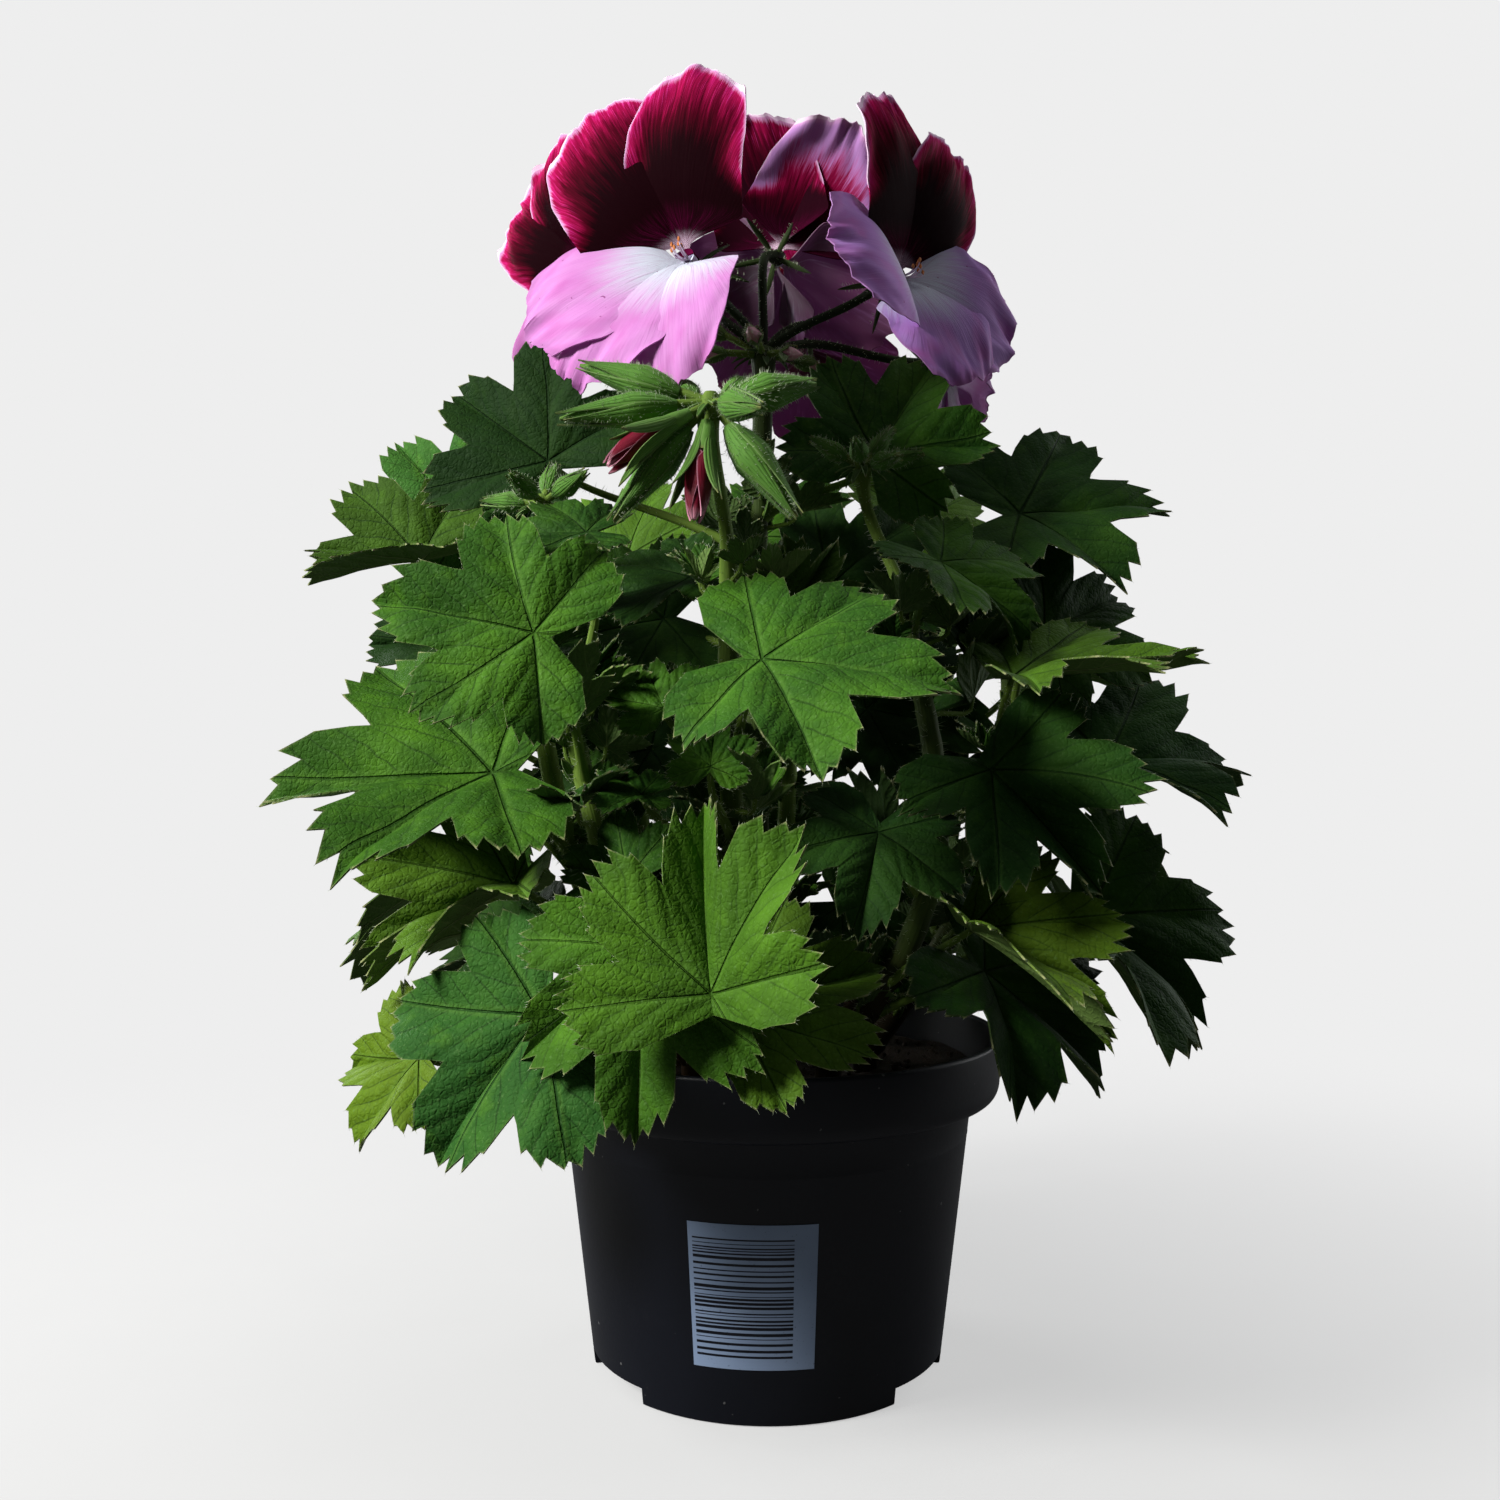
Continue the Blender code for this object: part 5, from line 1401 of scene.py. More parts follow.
def blade(form, leaf, finishes, teeth=FINE_TEETH_HALF, rings=BLADE_RINGS):
    """Add one leaf blade: a toothed, pleated sheet with hairs along its margin."""
    shape = LeafShape(leaf)
    dice = random.Random("blade" + repr(leaf.junction))
    phase = dice.uniform(0, math.tau)
    seed = dice.uniform(0, 50)
    columns = margin_columns(shape, dice, teeth)
    shade = leaf.shade + dice.uniform(-SHADE_LUCK, SHADE_LUCK)
    hue = leaf.hue + dice.uniform(-HUE_LUCK, HUE_LUCK)
    points = [shape.point(0, 0)]
    marks = [(0, 0, 0)]
    tones = [(shade, hue, 0)]
    for ring in rings:
        toothed = eased(ring, TEETH_FROM, 1.0)
        for angle, reach, notch, shift, tip in columns:
            shifted = angle + shift * toothed
            radius = ring * reach * (1 - notch * toothed)
            lobe, _ = shape.lobe_at(angle)
            away = math.radians(shifted - LOBE_VEINS_DEG[lobe] - shape.vein_bends[lobe] * radius)
            flat = Vector((*on_circle(radius, angle), seed))
            lift = MARGIN_WAVE * radius ** 2 * math.sin(math.radians(shifted) * MARGIN_WAVES + phase)
            lift += CRINKLE * radius * noise.noise(flat * CRINKLE_RATE)
            points.append(shape.point(shifted, radius, lift))
            side = 1 if lobe % 2 else -1
            marks.append((radius * math.cos(away), radius * math.sin(away) * side, tip * (ring == 1.0)))
            tones.append((shade, hue, ring))
    count = len(columns)
    faces = [(0, 1 + column, 1 + (column + 1) % count) for column in range(count)]
    outer = len(points) - count
    for low in range(1, outer, count):
        for column in range(count):
            after = (column + 1) % count
            faces.append((low + column, low + count + column, low + count + after, low + after))
    form.sheet(points, faces, marks, tones, BLADE_THICKNESS, finishes.leaf)
    for number in range(outer, len(points) - 1):
        outward = (points[number] - points[number - count]).normalized()
        for share in MARGIN_HAIRS_AT:
            place = blend(points[number], points[number + 1], share)
            pointing = strayed(outward, MARGIN_HAIR_STRAY, dice)
            form.hair(place, pointing, dice.uniform(*MARGIN_HAIRS), finishes.hair)


def stem_curve(stem, rings):
    """Return a stem's points, from the bottom of its hole to its top."""
    x, y = stem.hole
    foot = Vector((x, y, SOIL_LEVEL - STEM_DEPTH))
    collar = Vector((x, y, SOIL_LEVEL + STEM_COLLAR))
    return [foot] + curve_through([collar] + [Vector(point) for point in stem.path], rings)


def point_at_height(curve, height):
    """Return the point of a rising curve at a height."""
    for low, high in zip(curve, curve[1:]):
        if high.z >= height:
            return blend(low, high, (height - low.z) / (high.z - low.z))
    return curve[-1]


def leaf_stalk_curve(leaf):
    """Return the points of a leaf's stalk, from inside its stem to the underside of its blade."""
    shape = LeafShape(leaf)
    end = Vector(leaf.junction)
    curve = stem_curve(STEMS[leaf.stem], STEM_RINGS)
    below = sum(other.stem == leaf.stem and other.junction[2] < leaf.junction[2] for other in LEAVES)
    lowest = SOIL_LEVEL + STALK_LOWEST + STALK_STEP * below
    drop = STALK_SLOPE * (end - curve[1]).to_2d().length
    start = point_at_height(curve, min(max(end.z - drop, lowest), curve[-1].z - STALK_STEP))
    reach = (end - start).length
    outward = (end - start) / reach
    leaving = (outward + UP * STALK_LEAVE_RISE).normalized()
    arrival = math.radians(STALK_ARRIVE_DEG)
    arriving = shape.along * math.cos(arrival) + shape.up * math.sin(arrival)
    first = start + leaving * reach * STALK_BOW
    last = end - arriving * reach * STALK_BOW
    return bezier(start, first, last, end, STALK_RINGS)


def leaf_stalk(form, leaf, finishes):
    """Add one leaf's stalk, with the swelling and the pair of stipules at its foot."""
    dice = random.Random("stalk" + repr(leaf.junction))
    curve = leaf_stalk_curve(leaf)
    radii = []
    tones = []
    for index in range(len(curve)):
        share = index / (len(curve) - 1)
        swelling = STALK_SWELLING * math.exp(-(share / STALK_SWELLING_REACH) ** 2)
        radii.append(blend(STALK_RADIUS_FOOT, STALK_RADIUS_LEAF, share) * (1 + swelling))
        tones.append((0, 0.12 * dice.random(), 0))
    frames = form.tube(curve, radii, STALK_SIDES, finishes.stalk, tones)
    form.hairs_on_tube(frames[2:], finishes.hair, dice)
    along = (curve[2] - curve[0]).normalized()
    sideways = along.cross(UP).normalized()
    for side in (-1, 1):
        base = curve[0] + along * STEM_RADIUS_TOP * 0.6 + sideways * side * 1.6
        pointing = (UP + along * 0.6 + sideways * side * 0.8).normalized()
        length = STIPULE_LENGTH * dice.uniform(*STIPULE_SHARES)
        curl = dice.uniform(*STIPULE_CURLS)
        across = square_to(pointing, sideways)
        form.leaflet(base, pointing, across, length, STIPULE_WIDTH, curl, finishes.sepal, STIPULE_TONE, 5)


def young_leaf(form, base, pointing, length, dice, finishes, extra_painted_shade=0.0):
    """Add one small folded leaf on a short stalk of its own."""
    end = base + pointing * length * dice.uniform(*YOUNG_STALK_SHARES)
    curve = bezier(base, base + pointing * length * 0.4, end - UP * length * 0.3, end, YOUNG_STALK_RINGS)
    radii = [blend(*YOUNG_STALK_RADII, step / (YOUNG_STALK_RINGS - 1)) for step in range(YOUNG_STALK_RINGS)]
    frames = form.tube(curve, radii, YOUNG_STALK_SIDES, finishes.stalk)
    form.hairs_on_tube(frames, finishes.hair, dice, YOUNG_HAIRS_PER_MM, SHORT_HAIRS)
    azimuth = math.degrees(math.atan2(pointing.y, pointing.x))
    leaf = Leaf(
        "young",
        tuple(end),
        midrib=(azimuth + dice.uniform(-25, 25), dice.uniform(5, 55)),
        facing=(azimuth + 180 * dice.uniform(-0.2, 0.2), dice.uniform(40, 80)),
        length=length,
        fold=dice.uniform(*YOUNG_FOLDS),
        droop=dice.uniform(*YOUNG_DROOPS),
        spread=YOUNG_SPREAD,
        shade=dice.uniform(*YOUNG_SHADES) - extra_painted_shade,
        hue=dice.uniform(*YOUNG_HUES),
    )
    blade(form, leaf, finishes, YOUNG_TEETH_HALF, YOUNG_RINGS)


def young_leaves(form, stem, leaves, dice, finishes):
    """Add young leaves: two at each leaf stalk's foot, a tuft round the stem's top and some along it."""
    curve = stem_curve(stem, STEM_RINGS)
    places = []
    for leaf in leaves:
        stalk = leaf_stalk_curve(leaf)
        ahead = (stalk[3] - stalk[0]).normalized()
        for side in (-1, 1):
            turn = Quaternion(UP, math.radians(side * dice.uniform(35, 80)))
            places.append((stalk[0], (turn @ ahead + UP * 0.3).normalized()))
    for step in range(YOUNG_AT_TOP):
        rise = dice.uniform(10, 60)
        base = blend(curve[-2], curve[-1], dice.uniform(0.5, 0.98))
        azimuth = 360 * (step + dice.uniform(-0.3, 0.3)) / YOUNG_AT_TOP
        places.append((base, direction(azimuth, rise)))
    for base, pointing in places:
        young_leaf(form, base, pointing, dice.uniform(*YOUNG_LENGTHS), dice, finishes)
    # The young leaves along the stem sit inside the bush and get extra painted shade.
    for step in range(YOUNG_ON_STEM):
        height = blend(YOUNG_LOWEST, curve[-1].z, (step + dice.random()) / YOUNG_ON_STEM)
        pointing = direction(dice.uniform(0, 360), dice.uniform(-10, 40))
        base = point_at_height(curve, height)
        young_leaf(form, base, pointing, dice.uniform(*STEM_LEAF_LENGTHS), dice, finishes, PAINTED_SHADE_ON_STEM_LEAVES)


def leafy_stem(name, finishes):
    """Make one stem with its stalks, stipules, blades and hairs, in place of the frame's."""
    form = Form()
    dice = random.Random(name)
    points = stem_curve(STEMS[name], STEM_FINE_RINGS)
    radii = []
    tones = []
    for index, point in enumerate(points):
        knot = 1 + KNOT_SWELLING * math.sin(point.z * KNOT_RATE) ** KNOT_SHARPNESS
        radii.append(blend(STEM_RADIUS_FOOT, STEM_RADIUS_TOP, index / (len(points) - 1)) * knot)
        dark = STEM_PAINTED_SHADE.get(name, 0.0) + 0.15 * dice.random()
        tones.append((1 - eased(point.z, *STEM_BARK_HEIGHTS), dark, 0))
    frames = form.tube(points, radii, STEM_SIDES, finishes.stalk, tones)
    form.hairs_on_tube(frames[STEM_BARE_RINGS:], finishes.hair, dice, STEM_HAIRS_PER_MM)
    leaves = [leaf for leaf in LEAVES if leaf.stem == name]
    for leaf in leaves:
        leaf_stalk(form, leaf, finishes)
        blade(form, leaf, finishes)
    young_leaves(form, STEMS[name], leaves, dice, finishes)
    form.make(f"leafy_stem_{name}_fine", "leaf", "leafy_stem_" + name)


# Flowers


class FlowerFrame:
    """A flower's own axes: out of its throat, and up and left across it after its turn."""

    def __init__(self, flower):
        self.throat = Vector(flower.throat)
        self.out = direction(*flower.facing)
        self.up = Quaternion(self.out, math.radians(flower.turn)) @ square_to(self.out, UP)
        self.left = self.out.cross(self.up)

    def spoke(self, angle):
        """Return the direction across the flower at an angle from its top, anticlockwise from the front."""
        turn = math.radians(angle)
        return self.up * math.cos(turn) + self.left * math.sin(turn)


class PetalShape:
    """The curved surface of one petal, read by its share along (0 to 1) and across (-1 to 1)."""

    def __init__(self, frame, angle, length, width, forward):
        self.frame = frame
        self.forward = forward
        self.spoke = frame.spoke(angle)
        self.across = frame.out.cross(self.spoke)
        self.root = frame.throat + frame.up * math.copysign(CLAW_OFFSET, self.spoke.dot(frame.up))
        self.length = length
        self.width = width
        self.phase = random.Random(repr((angle, length, width))).uniform(0, math.tau)

    def point(self, along, across):
        """Return the surface's point in millimetres."""
        dent = noise.noise(Vector((across * MARGIN_DENTS, self.phase * 3, 0.0)))
        dent += 0.5 * noise.noise(Vector((across * FINE_DENTS, self.phase * 3, 4.0)))
        along = along * (1 - TIP_ROUND * across ** 2 + MARGIN_DENT * dent * along)
        reach = CLAW_REACH
        height = CLAW_HEIGHT
        step_length = self.length * along / PETAL_CURVE_STEPS
        for step in range(PETAL_CURVE_STEPS):
            share = along * (step + 0.5) / PETAL_CURVE_STEPS
            lean = math.radians(blend(PETAL_LIFT_DEG, PETAL_REFLEX_DEG, share))
            reach += step_length * math.cos(lean)
            height += step_length * math.sin(lean)
        opened = eased(along, CLAW_END, FULL_WIDTH_FROM)
        tip = 1 - TIP_NARROWING * max(along - TIP_FROM, 0) / (1 - TIP_FROM)
        half = blend(CLAW_WIDTH, self.width * tip, opened) / 2
        height += half * (PETAL_TWIST * across - PETAL_CUP * across ** 2)
        ruffle = math.sin(RUFFLE_WAVES * across + self.phase)
        height += RUFFLE_HEIGHT * along ** 3 * abs(across) ** 0.5 * ruffle
        rim = eased(max(along, abs(across) * eased(along, 0.15, 0.5)), 0.45, 1.0)
        spot = Vector((across * (0.5 + along), along, self.phase)) * FRILL_WAVES
        height += FRILL_HEIGHT * rim * noise.noise(spot)
        height += FINE_FRILL_HEIGHT * rim * rim * noise.noise(spot * FINE_FRILL_WAVES)
        height += self.forward * (1 - eased(along, 0.1, 0.5))
        return self.root + self.spoke * reach + self.across * half * across + self.frame.out * height


def petal(form, frame, angle, length, width, materials, tone, forward=0.0):
    """Add one petal as a thin ruffled sheet."""
    shape = PetalShape(frame, angle, length, width, forward)
    form.curved_sheet(shape.point, PETAL_ROWS, PETAL_COLUMNS, (shape.phase, *tone), PETAL_SHEET, materials)


def throat(form, frame, side, material):
    """Add the half of a flower's throat that joins its upper (side 1) or its lower petals (side -1)."""
    rings = []
    for depth, share in ((0.0, 1.0), (1.0, 1.0), (0.5, 0.3)):
        height = FIT_GAP + THROAT_DEPTH * depth
        centre = frame.throat + frame.out * height + frame.up * side * FIT_GAP / 2
        ring = []
        for corner in range(THROAT_CORNERS):
            turn = math.pi * corner / (THROAT_CORNERS - 1)
            spoke = frame.left * math.cos(turn) + frame.up * side * math.sin(turn)
            ring.append(form.add(centre + spoke * THROAT_RADIUS * share, (0.05, 0.2, 0)))
        rings.append(ring)
    form.capped(rings, material, -side)


def stamens(form, frame, finishes):
    """Add a flower's stamens, which curve out of its throat along the lower petals."""
    dice = random.Random(repr(tuple(frame.throat)))
    radii = [blend(*FILAMENT_RADII, step / (STAMEN_RINGS - 1)) for step in range(STAMEN_RINGS)]
    for _ in range(STAMEN_COUNT):
        lean = frame.spoke(180 + dice.uniform(-50, 50))
        base = frame.throat + frame.out * THROAT_DEPTH * 0.6 + lean * 0.8
        length = STAMEN_LENGTH * dice.uniform(0.6, 1.0)
        bow = frame.out * length * 0.6 + lean * length * 0.25
        tip = base + frame.out * length + lean * length * dice.uniform(0.2, 0.5) + frame.up * length * 0.25
        curve = bezier(base, base + bow, tip - frame.up * length * 0.3, tip, STAMEN_RINGS)
        form.tube(curve, radii, FILAMENT_SIDES, finishes.filament)
        ends = [tip + frame.up * ANTHER_HALF * side for side in (-1, 0, 1)]
        form.tube(ends, ANTHER_RADII, ANTHER_SIDES, finishes.anther)


def flower_petals(name, flower, finishes):
    """Make a flower's two dark upper petals, and its three pale lower ones with the stamens."""
    frame = FlowerFrame(flower)
    size = flower.length
    upper = Form()
    throat(upper, frame, 1, finishes.dark_petal[0])
    for (angle, reach, width), pale in zip(flower.upper, flower.pale):
        petal(upper, frame, angle, reach * size, width * size, finishes.dark_petal[::-1], (pale, 0))
    upper.make(f"upper_petals_{name}_fine", "dark_petal", "upper_petals_" + name)
    lower = Form()
    throat(lower, frame, -1, finishes.pale_petal[0])
    materials = finishes.pale_petal[::-1]
    tone = (flower.violet, flower.dusk)
    for angle, reach in zip(flower.lower, flower.reaches):
        length = reach * LOWER_SHARE * size
        petal(lower, frame, angle, length, LOWER_WIDTH * size, materials, tone, LOWER_FORWARD)
    stamens(lower, frame, finishes)
    lower.make(f"lower_petals_{name}_fine", "pale_petal", "lower_petals_" + name)


def calyx(form, flower, hub, finishes):
    """Add a flower's stalk from the hub, its tube and its five hairy sepals."""
    dice = random.Random(repr(flower.throat))
    frame = FlowerFrame(flower)
    base = frame.throat - frame.out * CALYX_LENGTH
    leaving = ((base - hub).normalized() + UP * HEAD_STALK_BOW).normalized()
    bow = (base - hub).length * HEAD_STALK_BOW
    points = bezier(hub, hub + leaving * bow, base - frame.out * bow, base, FLOWER_STALK_RINGS)
    radii = [FLOWER_STALK_RADIUS] * len(points)
    for step in range(1, CALYX_RINGS + 1):
        share = step / CALYX_RINGS
        points.append(base + frame.out * CALYX_LENGTH * share)
        widening = blend(FLOWER_STALK_RADIUS, CALYX_RADIUS_MIDDLE, min(share * 2, 1))
        radii.append(blend(widening, CALYX_RADIUS_TOP, max(share * 2 - 1, 0)))
    tones = [FLOWER_STALK_TONE] * len(points)
    frames = form.tube(points, radii, FLOWER_STALK_SIDES, finishes.stalk, tones)
    form.hairs_on_tube(frames, finishes.hair, dice, FLOWER_HAIRS_PER_MM, SHORT_HAIRS)
    back = math.radians(SEPAL_BACK_DEG)
    for step in range(SEPAL_COUNT):
        spoke = frame.spoke(360 * (step + 0.5) / SEPAL_COUNT)
        start = frame.throat - frame.out * SEPAL_DROP + spoke * SEPAL_SEAT
        pointing = spoke * math.cos(back) - frame.out * math.sin(back)
        across = frame.out.cross(spoke)
        curl = dice.uniform(*SEPAL_CURLS)
        form.leaflet(start, pointing, across, SEPAL_LENGTH, SEPAL_WIDTH, curl, finishes.sepal, CALYX_TONE)
        for _ in range(SEPAL_HAIRS):
            place = start + pointing * SEPAL_LENGTH * dice.uniform(0.1, 0.9)
            side = across * dice.choice((-1, 1))
            outward = strayed(side, BUD_HAIR_STRAY, dice)
            form.hair(place + side * 0.8, outward, dice.uniform(*SHORT_HAIRS), finishes.hair)


# Buds and heads


class BudAxis:
    """The line along a bud's body or its rolled petals, with the radius and the spokes about it."""

    def __init__(self, hub, bud, profile, start, length, width, sag=lambda share: 0.0):
        self.pointing = direction(*bud.pointing)
        self.hub = hub
        self.start = start
        self.length = length
        self.sag = sag
        self.width = width
        self.profile = profile
        self.across = self.pointing.orthogonal().normalized()

    def centre(self, share):
        """Return the axis point at a share of the body."""
        return self.hub + self.pointing * (self.start + self.length * share) - UP * self.sag(share)

    def spoke(self, turn):
        """Return the direction away from the axis at a turn about it."""
        return Quaternion(self.pointing, turn) @ self.across

    def place(self, share, turn, extra=0.0):
        """Return the point on the body at a share along it and a turn about it, moved out by extra."""
        radius = profile_at(self.profile, min(share, 1.0)) * self.width / 2 + extra
        return self.centre(share) + self.spoke(turn) * radius

    def core(self, form, steps, radius_at, sides, material, tone=(0, 0, 0), ridges=0.0):
        """Add a tube along the axis, whose radius follows from the profile's value through radius_at."""
        shares = [step / steps for step in range(steps + 1)]
        centres = [self.centre(share) for share in shares]
        radii = [radius_at(profile_at(self.profile, share)) for share in shares]
        form.tube(centres, radii, sides, material, [tone] * len(shares), ridges)


def wrapped(form, axis, turn, half_deg, reach, flare, material, tone=(0, 0, 0), rows=11, columns=6):
    """Add a sepal or rolled petal that wraps round a bud's body and ends in a point."""
    half = math.radians(half_deg)

    def point_at(along, across):
        width = half * (1 - along ** 2.2) * min(1.0, 0.5 + along * 3) + 0.05
        extra = 0.16 + flare * along ** 3 + 0.10 * across
        return axis.place(along * reach, turn + width * across, extra)

    form.curved_sheet(point_at, rows, columns, tone, PETAL_SHEET, (material, material), True)


def bud_stalk(form, hub, bud, length, finishes, dice):
    """Add a bud's stalk with its hairs."""
    pointing = direction(*bud.pointing)
    points = [hub + pointing * length * step / (BUD_STALK_RINGS - 1) for step in range(BUD_STALK_RINGS)]
    radii = [BUD_STALK_RADIUS] * BUD_STALK_RINGS
    tones = [BUD_STALK_TONE] * BUD_STALK_RINGS
    frames = form.tube(points, radii, BUD_STALK_SIDES, finishes.stalk, tones)
    form.hairs_on_tube(frames, finishes.hair, dice, BUD_STALK_HAIRS_PER_MM, BUD_HAIRS)


def bud_hairs(form, axis, count, finishes, dice):
    """Add hairs over a bud's body, which lean towards its tip."""
    for _ in range(count):
        share = dice.uniform(0.05, 0.95)
        turn = dice.uniform(0, math.tau)
        pointing = strayed(axis.spoke(turn) + axis.pointing * 0.4, BUD_HAIR_STRAY, dice)
        form.hair(axis.place(share, turn, 0.3), pointing, dice.uniform(*BUD_HAIRS), finishes.hair)


def bud_body(form, hub, bud, finishes, furled, tone):
    """Add a closed bud: a core of furled petals in five keeled sepals with long tips."""
    dice = random.Random(repr((tuple(hub), bud.pointing)))
    bud_stalk(form, hub, bud, bud.stalk + 0.5, finishes, dice)

    def sag(share):
        return BUD_SAG * bud.length * ((1 + share) / 2) ** 2

    def radius_at(value):
        return max(value * bud.width / 2, BUD_TIP_RADIUS)

    axis = BudAxis(hub, bud, BUD_PROFILE, bud.stalk, bud.length, bud.width, sag)
    material = finishes.young_petal if furled else finishes.sepal
    axis.core(form, BUD_RINGS, radius_at, BUD_SIDES, material, tone, BUD_RIDGES)
    first = dice.uniform(0, math.tau)
    for step in range(SEPAL_COUNT):
        turn = first + math.tau * step / SEPAL_COUNT
        reach = (FURLED_REACH if furled else CLOSED_REACH) * dice.uniform(*SEPAL_WRAP_SHARES)
        flare = dice.uniform(*SEPAL_FLARES)
        wrapped(form, axis, turn, SEPAL_WRAP_DEG, reach, flare, finishes.sepal, tone)
    bud_hairs(form, axis, int(bud.length * bud.width * BUD_HAIRS_PER_MM2), finishes, dice)


def opening_cup(form, hub, bud, finishes):
    """Add the green part of an opening bud: its stalk, a cup and long sepals that stand off the petals."""
    dice = random.Random(repr((tuple(hub), bud.pointing)))
    bud_stalk(form, hub, bud, bud.stalk, finishes, dice)
    axis = BudAxis(hub, bud, CUP_PROFILE, bud.stalk, bud.length, bud.width)
    axis.core(form, CUP_RINGS, lambda value: value * bud.width, BUD_SIDES, finishes.sepal, ridges=BUD_RIDGES)
    for step in range(SEPAL_COUNT):
        spoke = axis.spoke(math.tau * (step + dice.uniform(-0.15, 0.15)) / SEPAL_COUNT)
        base = axis.centre(0.55) + spoke * bud.width * 0.42
        pointing = (axis.pointing + spoke * dice.uniform(*CUP_SEPAL_LEANS)).normalized()
        across = axis.pointing.cross(spoke)
        length = CUP_SEPAL_LENGTH * dice.uniform(*CUP_SEPAL_SHARES)
        curl = dice.uniform(*CUP_SEPAL_CURLS)
        form.leaflet(base, pointing, across, length, CUP_SEPAL_WIDTH, curl, finishes.sepal)
    bud_hairs(form, axis, CUP_HAIRS, finishes, dice)


def rolled_petals(name, number, hub, bud, finishes):
    """Make the rolled petals that show in an opening bud: a slim core in four overlapping petals."""
    form = Form()
    start = bud.stalk + bud.length + FIT_GAP

    def sag(share):
        return ROLLED_SAG * share ** 2

    axis = BudAxis(hub, bud, ROLLED_PROFILE, start, ROLLED_PETAL_LENGTH, bud.width * 2, sag)

    def radius_at(value):
        return value * bud.width - ROLLED_CORE_INSET

    axis.core(form, ROLLED_RINGS, radius_at, ROLLED_SIDES, finishes.rolled_petal)
    for step in range(ROLLED_PETAL_COUNT):
        turn = math.tau * step / ROLLED_PETAL_COUNT
        flare = blend(*ROLLED_FLARES, step / (ROLLED_PETAL_COUNT - 1))
        wrapped(form, axis, turn, ROLLED_WRAP_DEG, 1.0, flare, finishes.rolled_petal, rows=12, columns=8)
    form.make(f"bud_petals_{name}_{number}_fine", "dark_petal", f"bud_petals_{name}_{number}")


def head_stalk(form, hub, stem_name, radius, finishes, dark):
    """Add the stalk of a head, from just above its stem's top to its hub, with bracts round the hub."""
    dice = random.Random(stem_name + "head")
    top = stem_curve(STEMS[stem_name], STEM_RINGS)
    upwards = (top[-1] - top[-2]).normalized()
    foot = top[-1] + upwards * FIT_GAP
    rise = foot + upwards * STEM_RADIUS_TOP
    bow = (hub - foot).length * HEAD_STALK_BOW
    curve = bezier(rise, rise + upwards * bow, hub - UP * bow, hub, HEAD_STALK_RINGS)
    points = [foot] + curve + [hub + UP * HUB_TIP_HEIGHT * 0.6, hub + UP * HUB_TIP_HEIGHT]
    radii = [STEM_RADIUS_TOP]
    for step in range(HEAD_STALK_RINGS):
        share = step / (HEAD_STALK_RINGS - 1)
        slender = blend(STEM_RADIUS_TOP, radius, min(share * 4, 1))
        radii.append(slender + HUB_SWELLING * eased(share, 0.8, 1.0))
    radii += [radius + HUB_SWELLING * 0.6, HUB_TIP_RADIUS]
    # The stalk and its bracts are darkened by painted shade, as much as dark says.
    frames = form.tube(points, radii, STEM_SIDES, finishes.stalk, [(0, dark, 0)] * len(points))
    form.hairs_on_tube(frames, finishes.hair, dice, HEAD_HAIRS_PER_MM, HEAD_HAIRS)
    for step in range(BRACT_COUNT):
        spoke = direction(360 * (step + dice.uniform(-0.2, 0.2)) / BRACT_COUNT, dice.uniform(*BRACT_RISES))
        across = square_to(spoke, UP.cross(spoke))
        length = BRACT_LENGTH * dice.uniform(*BRACT_SHARES)
        curl = dice.uniform(*BRACT_CURLS)
        tone = (0.1 + dark * 0.8, 0, 0)
        form.leaflet(hub + spoke * radius, spoke, across, length, BRACT_WIDTH, curl, finishes.sepal, tone, 6)


def flower_head(finishes):
    """Make the green part of the open flower head, with its small closed buds."""
    form = Form()
    hub = Vector(HUB)
    head_stalk(form, hub, "middle", HEAD_STALK_RADIUS, finishes, HEAD_PAINTED_SHADE)
    for flower in FLOWERS.values():
        calyx(form, flower, hub, finishes)
    for bud in HUB_BUDS:
        bud_body(form, hub, bud, finishes, True, HUB_BUD_TONE)
    form.make("flower_head_stalks_fine", "stalk", "flower_head_stalks")


def bud_head(name, head, finishes):
    """Make a head of buds."""
    form = Form()
    hub = Vector(head.hub)
    head_stalk(form, hub, head.stem, BUD_HEAD_STALK_RADIUS, finishes, BUD_HEADS_PAINTED_SHADE)
    for bud in head.opening:
        opening_cup(form, hub, bud, finishes)
    for bud in head.buds:
        bud_body(form, hub, bud, finishes, False, CLOSED_BUD_TONE)
    form.make(f"bud_head_{name}_fine", "stalk", "bud_head_" + name)
    for number, bud in enumerate(head.opening, 1):
        rolled_petals(name, number, hub, bud, finishes)


# Pot and soil


def arc(centre, radii, start, end, count):
    """Return count (radius, height) points along an elliptic arc from a start to an end angle in degrees."""
    points = []
    for step in range(count):
        angle = math.radians(blend(start, end, step / (count - 1)))
        points.append((centre[0] + radii[0] * math.cos(angle), centre[1] + radii[1] * math.sin(angle)))
    return points


def wall_radius(height):
    """Return the radius of the pot wall's outer face at a height."""
    return blend(WALL_FOOT_RADIUS, WALL_TOP_RADIUS, height / RIM_UNDERSIDE)


